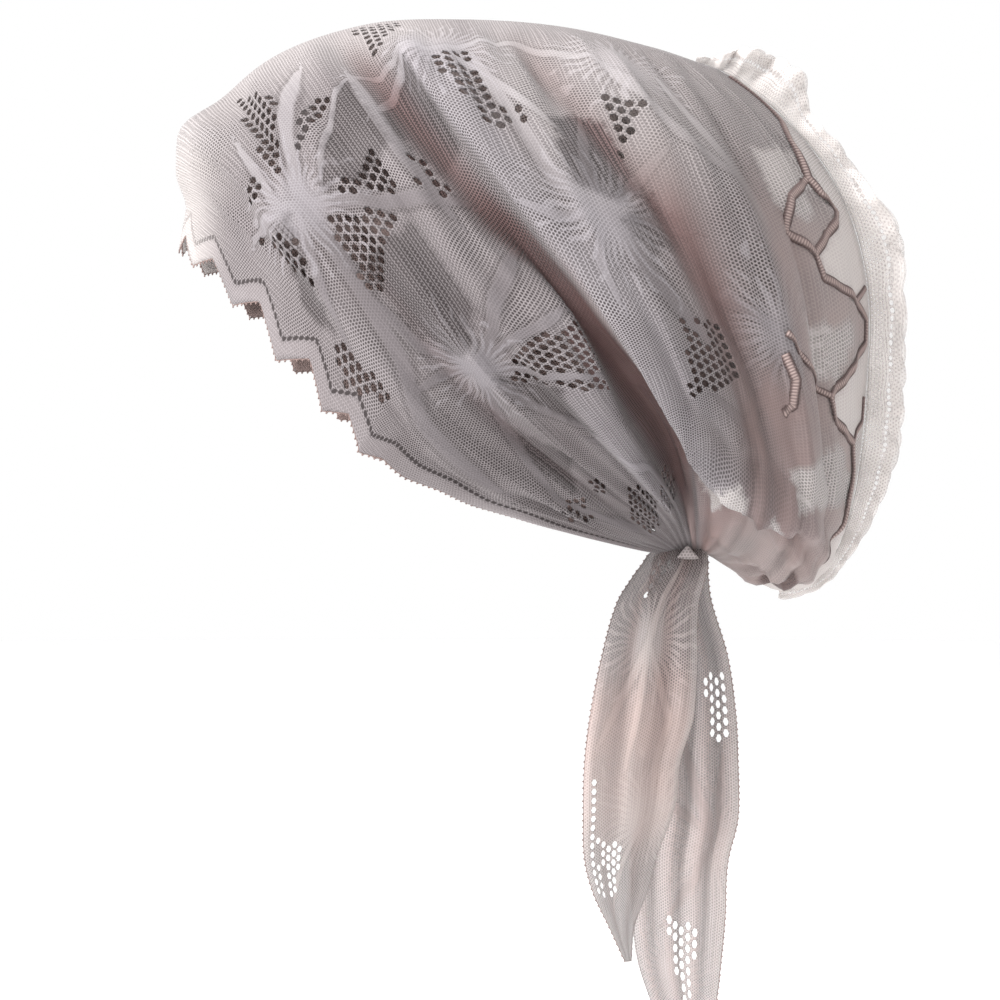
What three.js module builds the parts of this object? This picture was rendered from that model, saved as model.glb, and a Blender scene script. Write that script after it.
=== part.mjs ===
// Pre-tied stretch-lace head wrap: a hollow slouchy cap gathered into a knot at
// the nape, a ruffled frill standing on its centre-back seam and two hanging ties.
// Millimetres, +Z up, face side towards -Y, the wearer's left towards +X.
// The origin is the middle of the head seat inside the cap.
import * as THREE from 'three';

// Driving dimensions
const WALL = 1.3;            // lace wall of the cap
const PLY = 1.2;             // lace ply of the frill and the ties
const GAP = 0.3;             // running gap between neighbouring pieces
const KNOT_Y = 85.7;         // centre of the nape knot, behind the origin
const KNOT_TOP = -109.4;     // height where the gathered neck ends on the knot
const NECK_RADIUS = 6.5;     // radius of the gathered neck
const NECK_FRONT_GAP = 0.08; // half-turn share left open at the front of the neck
const SIDE_SHARE = 0.5;      // share of a guide's run between mid-line and widest place

// Grid of the cap, one half: places along u, closer where the flap bends, and columns
const RUN_PLACES = [0, 0.07, 0.14, 0.21, 0.28, 0.345, 0.41, 0.475, 0.54, 0.60, 0.65, 0.695, 0.735, 0.77,
  0.805, 0.845, 0.89, 0.945, 1];
const RUNS = RUN_PLACES.length - 1;
const COLUMNS = 38;          // cells from the front edge back to the seam
const EDGE_SPLIT = 4;        // edge segments on each cell of the front edge

// Guide meridians of the cap from the front edge (v = 0) to the back seam (v = 1).
// Each starts on the mid-line at top, passes its widest place at side and then runs
// into the neck, bent by reach and low. Places are (y, z), bow bulges the upper run.
const GUIDES = [
  { v: 0.00, topY: -95.4, topZ: 9.0, sideY: -29.9, sideZ: -68.4, halfWidth: 74, bow: 5.0, reach: 21.6,
    lowY: 55.8, lowZ: -107.6, lowX: 34 },
  { v: 0.12, topY: -91.8, topZ: 39.6, sideY: -14.4, sideZ: -45.0, halfWidth: 77, bow: 2.2, reach: 39.6,
    lowY: 55.8, lowZ: -101.6, lowX: 38 },
  { v: 0.25, topY: -69.5, topZ: 66.2, sideY: 5.4, sideZ: -34.2, halfWidth: 79, bow: 0.0, reach: 43.2,
    lowY: 66.6, lowZ: -90.0, lowX: 42 },
  { v: 0.40, topY: -33.5, topZ: 80.3, sideY: 32.4, sideZ: -30.6, halfWidth: 80, bow: -2.2, reach: 39.6,
    lowY: 75.6, lowZ: -79.2, lowX: 44 },
  { v: 0.55, topY: 2.5, topZ: 82.4, sideY: 61.2, sideZ: -28.8, halfWidth: 79, bow: -1.4, reach: 39.6,
    lowY: 88.2, lowZ: -82.8, lowX: 44 },
  { v: 0.70, topY: 37.8, topZ: 79.9, sideY: 90.0, sideZ: -27.0, halfWidth: 71, bow: 2.9, reach: 46.8,
    lowY: 113.4, lowZ: -111.6, lowX: 42 },
  { v: 0.85, topY: 70.2, topZ: 72.7, sideY: 120.6, sideZ: -28.8, halfWidth: 51, bow: 8.6, reach: 57.6,
    lowY: 135.0, lowZ: -140.4, lowX: 33 },
  { v: 0.95, topY: 88.2, topZ: 67.0, sideY: 140.4, sideZ: -34.2, halfWidth: 22, bow: 14.4, reach: 61.2,
    lowY: 140.4, lowZ: -144.0, lowX: 16 },
  { v: 1.00, topY: 95.4, topZ: 64.4, sideY: 148.7, sideZ: -36.0, halfWidth: 0, bow: 17.3, reach: 57.6,
    lowY: 142.2, lowZ: -144.0, lowX: 0 },
];
const GUIDE_COLUMNS = ['topY', 'topZ', 'sideY', 'sideZ', 'halfWidth', 'bow', 'reach', 'lowY', 'lowZ', 'lowX'];

// Folds of the cloth. A path is the crest of a fold from its upper end to its lower
// one, in (u, v). Height is positive for a ridge, negative for a valley; front and back
// are half-widths on the knot's side and on the seam's side, lean tips the crest that way.
const FOLDS = [
  { name: 'band', height: 4.5, front: 8.5, back: 14, lean: -1.5,
    path: [[0.20, 0.14], [0.38, 0.10], [0.53, 0.09], [0.63, 0.07], [0.72, 0.07], [0.80, 0.11],
      [0.97, 0.15]] },
  { name: 'band_valley', height: -2.4, front: 7, back: 7, lean: 0,
    path: [[0.25, 0.20], [0.50, 0.175], [0.75, 0.18], [0.95, 0.21]] },
  { name: 'temple', height: 2.8, front: 8.5, back: 8.5, lean: 0,
    path: [[0.04, 0.24], [0.30, 0.235], [0.50, 0.23], [0.75, 0.26], [0.95, 0.28]] },
  { name: 'crown_front', height: 3.0, front: 7, back: 7, lean: 0,
    path: [[0.03, 0.32], [0.30, 0.33], [0.60, 0.34], [0.95, 0.35]] },
  { name: 'crown_valley', height: -4.8, front: 8, back: 7, lean: 0,
    path: [[0.06, 0.36], [0.24, 0.39], [0.38, 0.43], [0.50, 0.47]] },
  { name: 'recess', height: -10, front: 7, back: 6.5, lean: 0,
    path: [[0.36, 0.44], [0.47, 0.475], [0.58, 0.48], [0.70, 0.47], [0.82, 0.465], [0.96, 0.47]] },
  { name: 'front_flap', height: 5.5, front: 15, back: 5.5, lean: 3.0,
    path: [[0.40, 0.44], [0.49, 0.435], [0.59, 0.43], [0.69, 0.41], [0.81, 0.40], [0.96, 0.43]] },
  { name: 'rear_flap', height: 8.5, front: 6.5, back: 14, lean: -3.0,
    path: [[0.10, 0.42], [0.25, 0.45], [0.39, 0.49], [0.47, 0.52], [0.57, 0.53], [0.67, 0.55], [0.74, 0.60],
      [0.77, 0.68], [0.76, 0.79], [0.73, 0.88]] },
  { name: 'under_valley', height: -4.0, front: 8, back: 7, lean: 0,
    path: [[0.70, 0.49], [0.79, 0.53], [0.84, 0.61], [0.86, 0.71], [0.86, 0.82]] },
  { name: 'bright_ridge', height: 4.0, front: 7, back: 8, lean: -1.0,
    path: [[0.10, 0.55], [0.30, 0.575], [0.47, 0.60], [0.60, 0.62], [0.67, 0.67], [0.69, 0.76]] },
  { name: 'deep_valley', height: -5.5, front: 8, back: 8, lean: 0,
    path: [[0.08, 0.61], [0.20, 0.63], [0.32, 0.67], [0.42, 0.71], [0.52, 0.725], [0.62, 0.74]] },
  { name: 'rear_ridge', height: 4.2, front: 9, back: 9, lean: 0,
    path: [[0.08, 0.70], [0.27, 0.74], [0.37, 0.79], [0.50, 0.81], [0.64, 0.82], [0.80, 0.86]] },
  { name: 'low_valley', height: -2.8, front: 7, back: 7, lean: 0,
    path: [[0.22, 0.84], [0.45, 0.885], [0.65, 0.89], [0.83, 0.93]] },
];
const FOLD_TAPER_IN = 34;    // run over which a fold rises from its upper end
const FOLD_TAPER_OUT = 40;   // run over which it dies out at its lower end
const CREST_STEPS = 4;       // straight pieces of a crest between two places of its path
const RUN_LENGTH = 285;      // cloth from the mid-line to the neck
const COLUMN_LENGTH = 245;   // cloth from the front edge to the seam
const GATHERS = 19;          // small pleats around the neck, one half
const GATHER_HEIGHT = 0.8;

// Forehead flare: the edge lifts off the forehead at the mid-line
const FLARE_HEIGHT = 7;      // how far the lobe stands forward
const FLARE_V = 0.05;        // where its crest lies above the edge
const FLARE_WIDTH_V = 0.06;
const FLARE_WIDTH_U = 0.16;

// Scalloped front edge, one half
const SCALLOPS = 14;
const SCALLOP_BASE = 3;      // lace beyond the guide line in the notches
const SCALLOPS_DEPTH = [     // depth of a scallop along the edge
  { u: 0.00, depth: 5.0 },
  { u: 0.20, depth: 7.0 },
  { u: 0.50, depth: 7.5 },
  { u: 0.70, depth: 3.0 },
  { u: 0.85, depth: 1.2 },
  { u: 0.95, depth: 0.0 },
];

// Fields of eyelets cut through the cap, round patches in (u, v)
const EYELET_FIELDS = [
  { name: 'forehead', u: 0.14, v: 0.20, radiusU: 0.07, radiusV: 0.05 },
  { name: 'temple', u: 0.42, v: 0.09, radiusU: 0.06, radiusV: 0.04 },
  { name: 'ear', u: 0.36, v: 0.24, radiusU: 0.09, radiusV: 0.045 },
  { name: 'crown', u: 0.26, v: 0.47, radiusU: 0.06, radiusV: 0.05 },
  { name: 'nape', u: 0.62, v: 0.37, radiusU: 0.06, radiusV: 0.05 },
  { name: 'rear', u: 0.53, v: 0.64, radiusU: 0.06, radiusV: 0.04 },
];
const EYELET_HALF_U = 0.11;  // half-diagonal of an eyelet, share of its cell
const EYELET_HALF_V = 0.30;

// Frill on the centre-back seam: height above the seam along the run
const FRILL = [
  { run: 0.00, height: 1.5 },
  { run: 0.05, height: 3.2 },
  { run: 0.10, height: 6.5 },
  { run: 0.15, height: 10.1 },
  { run: 0.20, height: 13.3 },
  { run: 0.25, height: 15.3 },
  { run: 0.30, height: 16.4 },
  { run: 0.34, height: 8.4 },
  { run: 0.40, height: 9.0 },
  { run: 0.45, height: 10.8 },
  { run: 0.50, height: 15.8 },
  { run: 0.55, height: 13.5 },
  { run: 0.65, height: 13.8 },
  { run: 0.70, height: 14.0 },
  { run: 0.75, height: 11.2 },
  { run: 0.80, height: 8.3 },
  { run: 0.85, height: 5.6 },
  { run: 0.90, height: 4.7 },
  { run: 0.95, height: 4.5 },
  { run: 1.00, height: 5.5 },
];
const FRILL_TOP_V = 0.94;    // where the frill starts on the crown's mid-line
const FRILL_TOP_SHARE = 0.1; // share of its run on the crown
const FRILL_END_U = 0.90;    // where it ends under the pouch
const FRILL_STEPS = 64;
const FRILL_ROWS = 2;
const FRILL_WAVES = 11;
const FRILL_WAVE = 6.5;      // sideways swing of the free edge
const FRILL_ROOT_GAP = 0.4;

// Ties: outline rows from the knot down, with the swing of the pleats; turn is how far
// the front edge stands out per millimetre of width
const TIE_LEFT = {
  side: 1,
  pleats: 2.5,
  phase: 0.4,
  rows: [
    { z: -111.6, front: 68.0, back: 90.5, out: 11.5, pleat: 0.3, turn: 0.00 },
    { z: -117.0, front: 64.0, back: 89.5, out: 12.0, pleat: 0.8, turn: 0.00 },
    { z: -126.7, front: 58.0, back: 87.0, out: 13.6, pleat: 1.4, turn: 0.10 },
    { z: -146.5, front: 52.2, back: 86.4, out: 17.0, pleat: 2.4, turn: 0.32 },
    { z: -167.8, front: 47.9, back: 85.3, out: 19.5, pleat: 3.0, turn: 0.50 },
    { z: -183.6, front: 46.1, back: 80.5, out: 20.5, pleat: 3.0, turn: 0.60 },
    { z: -199.4, front: 45.7, back: 78.8, out: 20.8, pleat: 2.6, turn: 0.66 },
    { z: -216.4, front: 46.1, back: 72.4, out: 20.6, pleat: 2.0, turn: 0.70 },
    { z: -229.0, front: 49.3, back: 69.0, out: 20.2, pleat: 1.4, turn: 0.70 },
    { z: -241.6, front: 55.1, back: 64.0, out: 20.0, pleat: 0.7, turn: 0.70 },
    { z: -253.8, front: 60.6, back: 62.8, out: 20.0, pleat: 0.1, turn: 0.70 },
  ],
};
const TIE_RIGHT = {
  side: -1,
  pleats: 3.5,
  phase: 2.2,
  rows: [
    { z: -111.6, front: 72.0, back: 91.0, out: 10.5, pleat: 0.3, turn: 0.00 },
    { z: -126.0, front: 70.0, back: 92.5, out: 11.8, pleat: 1.1, turn: 0.06 },
    { z: -146.5, front: 72.0, back: 98.5, out: 14.6, pleat: 2.2, turn: 0.24 },
    { z: -167.8, front: 69.0, back: 101.5, out: 18.0, pleat: 3.2, turn: 0.42 },
    { z: -183.6, front: 66.0, back: 102.2, out: 19.6, pleat: 3.6, turn: 0.52 },
    { z: -205.0, front: 65.0, back: 102.2, out: 20.4, pleat: 3.6, turn: 0.58 },
    { z: -221.4, front: 64.5, back: 98.5, out: 20.4, pleat: 3.2, turn: 0.62 },
    { z: -241.6, front: 65.0, back: 97.6, out: 20.0, pleat: 2.6, turn: 0.64 },
    { z: -257.4, front: 66.5, back: 96.2, out: 19.6, pleat: 2.1, turn: 0.64 },
    { z: -272.0, front: 71.0, back: 94.6, out: 19.4, pleat: 1.5, turn: 0.64 },
    { z: -286.0, front: 77.0, back: 91.5, out: 19.2, pleat: 0.9, turn: 0.64 },
    { z: -297.0, front: 83.5, back: 86.5, out: 19.2, pleat: 0.1, turn: 0.64 },
  ],
};
const TIE_ROWS = 18;
const TIE_COLUMNS = 8;

// Nape knot
const KNOT_HALF_X = 10.8;
const KNOT_HALF_Y = 6.2;
const KNOT_HEIGHT = 9;
const KNOT_LOBES = 3;
const KNOT_GROOVE = 0.10;    // share of the radius that a wrap's groove takes
const KNOT_FORWARD = 1;      // how far it sits before the neck's centre
const KNOT_SQUARENESS = 0.6; // exponent that flattens the knot's top and bottom

// Cubic through the rows of a table, at x, for one column
function tableAt(rows, key, column, x) {
  const last = rows.length - 2;
  let i = 0;
  while (i < last && x > rows[i + 1][key]) {
    i += 1;
  }
  const slope = (k) => {
    const a = rows[Math.max(k - 1, 0)];
    const b = rows[Math.min(k + 1, rows.length - 1)];
    return (b[column] - a[column]) / (b[key] - a[key]);
  };
  const span = rows[i + 1][key] - rows[i][key];
  const t = (x - rows[i][key]) / span;
  const t2 = t * t;
  const t3 = t2 * t;
  const start = (2 * t3 - 3 * t2 + 1) * rows[i][column] + (t3 - 2 * t2 + t) * span * slope(i);
  const end = (3 * t2 - 2 * t3) * rows[i + 1][column] + (t3 - t2) * span * slope(i + 1);
  return start + end;
}

// Straight steps through the rows of a table
function stepsAt(rows, key, column, x) {
  const clamped = THREE.MathUtils.clamp(x, rows[0][key], rows[rows.length - 1][key]);
  let i = 0;
  while (i < rows.length - 2 && clamped > rows[i + 1][key]) {
    i += 1;
  }
  const t = (clamped - rows[i][key]) / (rows[i + 1][key] - rows[i][key]);
  return rows[i][column] + (rows[i + 1][column] - rows[i][column]) * t;
}

// Smooth step from 0 at a to 1 at b
function rise(a, b, x) {
  return THREE.MathUtils.smoothstep(x, a, b);
}

// Unfolded cap, left half: u runs from the mid-line to the neck, v from edge to seam
function basePoint(u, v) {
  const row = {};
  for (const column of GUIDE_COLUMNS) {
    row[column] = tableAt(GUIDES, 'v', column, v);
  }
  const spanY = row.sideY - row.topY;
  const spanZ = row.sideZ - row.topZ;
  const length = Math.hypot(spanY, spanZ);
  const normalY = -spanZ / length;
  const normalZ = spanY / length;
  if (u < SIDE_SHARE) {
    const angle = (u / SIDE_SHARE) * Math.PI / 2;
    const share = 1 - Math.cos(angle);
    const bulge = row.bow * 4 * share * (1 - share);
    return new THREE.Vector3(
      row.halfWidth * Math.sin(angle),
      row.topY + spanY * share + normalY * bulge,
      row.topZ + spanZ * share + normalZ * bulge,
    );
  }
  const headY = spanY - normalY * 4 * row.bow;
  const headZ = spanZ - normalZ * 4 * row.bow;
  const head = Math.hypot(headY, headZ);
  const turn = Math.PI * (NECK_FRONT_GAP + (1 - NECK_FRONT_GAP) * v);
  const curve = new THREE.CubicBezierCurve3(
    new THREE.Vector3(row.halfWidth, row.sideY, row.sideZ),
    new THREE.Vector3(
      row.halfWidth,
      row.sideY + (headY / head) * row.reach,
      row.sideZ + (headZ / head) * row.reach,
    ),
    new THREE.Vector3(row.lowX, row.lowY, row.lowZ),
    new THREE.Vector3(
      NECK_RADIUS * Math.sin(turn),
      KNOT_Y - NECK_RADIUS * Math.cos(turn),
      KNOT_TOP,
    ),
  );
  return curve.getPoint((u - SIDE_SHARE) / (1 - SIDE_SHARE));
}

// Crest of a fold as a line of places in millimetres of cloth, each with its run
function makeCrest(path) {
  const rows = path.map(([u, v], n) => ({ n, x: u * RUN_LENGTH, y: v * COLUMN_LENGTH }));
  const count = (path.length - 1) * CREST_STEPS;
  const crest = [];
  let run = 0;
  for (let k = 0; k <= count; k += 1) {
    const place = new THREE.Vector2(
      tableAt(rows, 'n', 'x', k / CREST_STEPS),
      tableAt(rows, 'n', 'y', k / CREST_STEPS),
    );
    run += k === 0 ? 0 : place.distanceTo(crest[k - 1].place);
    crest.push({ place, run });
  }
  return crest;
}
const CRESTS = FOLDS.map((fold) => makeCrest(fold.path));

// Nearest place on a crest: distance, run, and the unit step across it to the seam's side
function nearestOnCrest(crest, cloth) {
  let nearest = { distance: Infinity };
  for (let k = 0; k + 1 < crest.length; k += 1) {
    const along = crest[k + 1].place.clone().sub(crest[k].place);
    const offset = cloth.clone().sub(crest[k].place);
    const t = THREE.MathUtils.clamp(offset.dot(along) / along.lengthSq(), 0, 1);
    const distance = offset.clone().addScaledVector(along, -t).length();
    if (distance < nearest.distance) {
      const across = new THREE.Vector2(-along.y, along.x).normalize();
      const run = crest[k].run + t * along.length();
      nearest = { distance, run, across, side: Math.sign(across.dot(offset)) };
    }
  }
  return nearest;
}

// Height of all folds at (u, v), and how far they shift the cloth in u and in v
function foldsAt(u, v) {
  const cloth = new THREE.Vector2(u * RUN_LENGTH, v * COLUMN_LENGTH);
  const shift = new THREE.Vector2();
  let height = 0;
  for (let n = 0; n < FOLDS.length; n += 1) {
    const fold = FOLDS[n];
    const crest = CRESTS[n];
    const end = crest[crest.length - 1].run;
    const { distance, run, across, side } = nearestOnCrest(crest, cloth);
    const width = side < 0 ? fold.front : fold.back;
    const taper = rise(0, FOLD_TAPER_IN, run) * (1 - rise(end - FOLD_TAPER_OUT, end, run));
    const swell = taper * Math.exp(-((distance / width) ** 2));
    height += fold.height * swell;
    shift.addScaledVector(across, fold.lean * swell);
  }
  const hold = rise(0, 0.08, u) * (1 - rise(0.92, 1, u)) * rise(0, 0.05, v) * (1 - rise(0.94, 1, v));
  const gatherRun = rise(0.55, 0.80, u) * (1 - rise(0.93, 1.0, u));
  height += GATHER_HEIGHT * Math.sin(2 * Math.PI * GATHERS * v + 3 * Math.sin(6 * v)) * gatherRun;
  const flareV = (v - FLARE_V) / FLARE_WIDTH_V;
  height += FLARE_HEIGHT * Math.exp(-(flareV ** 2) - (u / FLARE_WIDTH_U) ** 2);
  return { height, shiftU: hold * shift.x / RUN_LENGTH, shiftV: hold * shift.y / COLUMN_LENGTH };
}

// Cap surface with its folds, and its outward normal
function capPoint(u, v) {
  const { height, shiftU, shiftV } = foldsAt(u, v);
  const s = u + shiftU;
  const t = v + shiftV;
  const step = 1e-3;
  const alongU = basePoint(Math.min(s + step, 1), t).sub(basePoint(Math.max(s - step, 0), t));
  const alongV = basePoint(s, Math.min(t + step, 1)).sub(basePoint(s, Math.max(t - step, 0)));
  const normal = alongU.cross(alongV);
  if (u === 0 || v === 1) {
    normal.x = 0;
  }
  normal.normalize();
  return basePoint(s, t).addScaledVector(normal, height);
}

// Outer and inner place of one cap vertex; edge is lace beyond the front guide line
function capVertex(u, v, edge = 0) {
  const step = 2e-3;
  const place = capPoint(u, v);
  const alongU = capPoint(Math.min(u + step, 1), v).sub(capPoint(Math.max(u - step, 0), v));
  const alongV = capPoint(u, Math.min(v + step, 1)).sub(capPoint(u, Math.max(v - step, 0)));
  if (edge > 0) {
    const outward = alongV.clone().normalize();
    if (u === 0) {
      outward.x = 0;
      outward.normalize();
    }
    place.addScaledVector(outward, -edge);
  }
  const normal = alongU.cross(alongV);
  if (u === 0 || v === 1) {
    normal.x = 0;
    place.x = 0;
  }
  normal.normalize();
  return { outer: place, inner: place.clone().addScaledVector(normal, -WALL) };
}

// A sheet of cloth under construction: shared vertices and its outer triangles
class Sheet {
  constructor() {
    this.vertices = [];
    this.triangles = [];
    this.known = new Map();
  }

  // Index of a vertex, shared when another lies at the same place
  add(vertex) {
    const key = vertex.outer.toArray().map((x) => x.toFixed(3)).join(' ').replaceAll('-0.000', '0.000');
    if (!this.known.has(key)) {
      this.known.set(key, this.vertices.length);
      this.vertices.push(vertex);
    }
    return this.known.get(key);
  }

  // One outer triangle, dropped where it has shrunk to a line
  face(a, b, c) {
    if (a !== b && b !== c && c !== a) {
      this.triangles.push([a, b, c]);
    }
  }

  // The sheet mirrored in the plane x = 0 and sewn to itself
  mirror() {
    const flip = (place) => new THREE.Vector3(-place.x, place.y, place.z);
    const twins = this.vertices.map(({ outer, inner }) => ({ outer: flip(outer), inner: flip(inner) }));
    const index = twins.map((vertex) => this.add(vertex));
    for (const [a, b, c] of [...this.triangles]) {
      this.face(index[a], index[c], index[b]);
    }
  }

  // Closed body: outer layer, inner layer and a wall along every free edge
  toGeometry() {
    const count = this.vertices.length;
    const positions = [];
    for (const layer of ['outer', 'inner']) {
      for (const vertex of this.vertices) {
        positions.push(...vertex[layer].toArray());
      }
    }
    const indices = [];
    const edges = new Set();
    for (const [a, b, c] of this.triangles) {
      indices.push(a, b, c, c + count, b + count, a + count);
      edges.add(`${a} ${b}`).add(`${b} ${c}`).add(`${c} ${a}`);
    }
    for (const edge of edges) {
      const [a, b] = edge.split(' ').map(Number);
      if (!edges.has(`${b} ${a}`)) {
        indices.push(b, a, a + count, b, a + count, b + count);
      }
    }
    const geometry = new THREE.BufferGeometry();
    geometry.setAttribute('position', new THREE.Float32BufferAttribute(positions, 3));
    geometry.setIndex(indices);
    geometry.computeVertexNormals();
    return geometry;
  }
}

// Place in u at a share s of the cell i
function runAt(i, s = 0) {
  const end = RUN_PLACES[Math.min(i + 1, RUNS)];
  return RUN_PLACES[i] + (end - RUN_PLACES[i]) * s;
}

// Whether a cell's middle lies in a field of eyelets
function isEyeletCell(i, j) {
  const u = runAt(i, 0.5);
  const v = (j + 0.5) / COLUMNS;
  const reach = (field) => Math.hypot((u - field.u) / field.radiusU, (v - field.v) / field.radiusV);
  return EYELET_FIELDS.some((field) => reach(field) < 1);
}

// Two diamond eyelets of a cell, in the cell's own 0 to 1 space
function eyeletOutlines(j) {
  const stagger = j % 2 === 0 ? 0 : 0.08;
  return [0.21 + stagger, 0.71 + stagger].map((s) => [
    new THREE.Vector2(s - EYELET_HALF_U, 0.5),
    new THREE.Vector2(s, 0.5 - EYELET_HALF_V),
    new THREE.Vector2(s + EYELET_HALF_U, 0.5),
    new THREE.Vector2(s, 0.5 + EYELET_HALF_V),
  ]);
}

// Depth of the scalloped edge beyond the front guide line
function scallopAt(u) {
  const lobe = Math.abs(Math.sin(Math.PI * SCALLOPS * u)) ** 0.7;
  const fade = 1 - rise(0.88, 1, u);
  return SCALLOP_BASE * fade + stepsAt(SCALLOPS_DEPTH, 'u', 'depth', u) * lobe;
}

// The hollow cap with its folds, eyelets and scalloped front edge
function makeCap() {
  const sheet = new Sheet();
  const corner = (i, j) => sheet.add(capVertex(runAt(i), j / COLUMNS));
  for (let i = 0; i < RUNS; i += 1) {
    for (let j = 0; j < COLUMNS; j += 1) {
      if (isEyeletCell(i, j)) {
        const outline = [
          new THREE.Vector2(0, 0),
          new THREE.Vector2(1, 0),
          new THREE.Vector2(1, 1),
          new THREE.Vector2(0, 1),
        ];
        const holes = eyeletOutlines(j);
        const faces = THREE.ShapeUtils.triangulateShape(outline, holes);
        const places = [outline, ...holes].flat();
        const index = places.map((p) => sheet.add(capVertex(runAt(i, p.x), (j + p.y) / COLUMNS)));
        for (const [a, b, c] of faces) {
          const area = (places[b].x - places[a].x) * (places[c].y - places[a].y)
            - (places[c].x - places[a].x) * (places[b].y - places[a].y);
          sheet.face(index[a], index[area > 0 ? b : c], index[area > 0 ? c : b]);
        }
      } else {
        const a = corner(i, j);
        const b = corner(i + 1, j);
        const c = corner(i + 1, j + 1);
        const d = corner(i, j + 1);
        sheet.face(a, b, c);
        sheet.face(a, c, d);
      }
    }
    const edge = [];
    for (let k = 0; k <= EDGE_SPLIT; k += 1) {
      const u = runAt(i, k / EDGE_SPLIT);
      edge.push(sheet.add(capVertex(u, 0, scallopAt(u))));
    }
    const start = corner(i, 0);
    const end = corner(i + 1, 0);
    const half = EDGE_SPLIT / 2;
    for (let k = 0; k < EDGE_SPLIT; k += 1) {
      sheet.face(edge[k], edge[k + 1], k < half ? start : end);
    }
    sheet.face(edge[half], end, start);
  }
  sheet.mirror();
  return sheet.toGeometry();
}

// Seam line at the centre back, and the direction that stands off it
function seamPlace(run) {
  const at = (r) => (r < FRILL_TOP_SHARE
    ? capPoint(0, FRILL_TOP_V + (1 - FRILL_TOP_V) * (r / FRILL_TOP_SHARE))
    : capPoint(FRILL_END_U * (r - FRILL_TOP_SHARE) / (1 - FRILL_TOP_SHARE), 1));
  const place = at(run);
  const along = at(Math.min(run + 0.01, 1)).sub(at(Math.max(run - 0.01, 0)));
  return { place, off: new THREE.Vector3(0, -along.z, along.y).normalize() };
}

// The ruffled frill that stands on the centre-back seam
function makeFrill() {
  const sheet = new Sheet();
  const placeAt = (run, share) => {
    const { place, off } = seamPlace(run);
    const height = tableAt(FRILL, 'run', 'height', run);
    place.addScaledVector(off, FRILL_ROOT_GAP + height * share);
    const swing = Math.sin(Math.PI * run) ** 0.3;
    place.x = FRILL_WAVE * share * swing * Math.sin(2 * Math.PI * FRILL_WAVES * run);
    return place;
  };
  const vertexAt = (i, k) => {
    const run = i / FRILL_STEPS;
    const share = k / FRILL_ROWS;
    const place = placeAt(run, share);
    const alongRun = placeAt(Math.min(run + 0.004, 1), share).sub(placeAt(Math.max(run - 0.004, 0), share));
    const alongShare = placeAt(run, Math.min(share + 0.05, 1)).sub(placeAt(run, Math.max(share - 0.05, 0)));
    const normal = alongRun.cross(alongShare).normalize();
    return {
      outer: place.clone().addScaledVector(normal, PLY / 2),
      inner: place.clone().addScaledVector(normal, -PLY / 2),
    };
  };
  for (let i = 0; i < FRILL_STEPS; i += 1) {
    for (let k = 0; k < FRILL_ROWS; k += 1) {
      const a = sheet.add(vertexAt(i, k));
      const b = sheet.add(vertexAt(i + 1, k));
      const c = sheet.add(vertexAt(i + 1, k + 1));
      const d = sheet.add(vertexAt(i, k + 1));
      sheet.face(a, b, c);
      sheet.face(a, c, d);
    }
  }
  return sheet.toGeometry();
}

// A hanging tie: a pleated strip that widens below the knot and ends in a point
function makeTie(tie) {
  const sheet = new Sheet();
  const rows = tie.rows.map((row) => ({ ...row, drop: -row.z }));
  const topDrop = rows[0].drop;
  const length = rows[rows.length - 1].drop - topDrop;
  const placeAt = (run, across) => {
    const drop = topDrop + length * run;
    const front = tableAt(rows, 'drop', 'front', drop);
    const back = tableAt(rows, 'drop', 'back', drop);
    const out = tableAt(rows, 'drop', 'out', drop);
    const pleat = tableAt(rows, 'drop', 'pleat', drop);
    const turn = tableAt(rows, 'drop', 'turn', drop);
    const wave = Math.sin(2 * Math.PI * tie.pleats * across + tie.phase);
    const swing = pleat * wave + turn * (0.5 - across) * (back - front);
    return new THREE.Vector3(tie.side * (out + swing), front + (back - front) * across, -drop);
  };
  const vertexAt = (i, k) => {
    const run = i / TIE_ROWS;
    const across = k / TIE_COLUMNS;
    const place = placeAt(run, across);
    const alongRun = placeAt(Math.min(run + 0.01, 1), across).sub(placeAt(Math.max(run - 0.01, 0), across));
    const alongWidth = placeAt(run, Math.min(across + 0.02, 1)).sub(placeAt(run, Math.max(across - 0.02, 0)));
    const normal = alongRun.cross(alongWidth).normalize();
    return {
      outer: place.clone().addScaledVector(normal, PLY / 2),
      inner: place.clone().addScaledVector(normal, -PLY / 2),
    };
  };
  for (let i = 0; i < TIE_ROWS; i += 1) {
    for (let k = 0; k < TIE_COLUMNS; k += 1) {
      const a = sheet.add(vertexAt(i, k));
      const b = sheet.add(vertexAt(i + 1, k));
      const c = sheet.add(vertexAt(i + 1, k + 1));
      const d = sheet.add(vertexAt(i, k + 1));
      sheet.face(a, b, c);
      sheet.face(a, c, d);
    }
  }
  return sheet.toGeometry();
}

// The nape knot: a flattened ball with slanted grooves between its wraps
function makeKnot() {
  const ball = new THREE.SphereGeometry(1, 18, 10);
  const place = ball.getAttribute('position');
  for (let n = 0; n < place.count; n += 1) {
    const x = place.getX(n);
    const y = place.getZ(n);
    const z = place.getY(n);
    const wrap = 0.5 + 0.5 * Math.cos(KNOT_LOBES * Math.atan2(y, x) + 2 * z);
    const groove = 1 - KNOT_GROOVE * wrap * (1 - z * z);
    const flat = Math.sign(z) * Math.abs(z) ** KNOT_SQUARENESS;
    place.setXYZ(
      n,
      -KNOT_HALF_X * x * groove,
      KNOT_Y - KNOT_FORWARD + KNOT_HALF_Y * y * groove,
      KNOT_TOP - GAP + (flat - 1) * KNOT_HEIGHT / 2,
    );
  }
  ball.computeVertexNormals();
  return ball;
}

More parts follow.
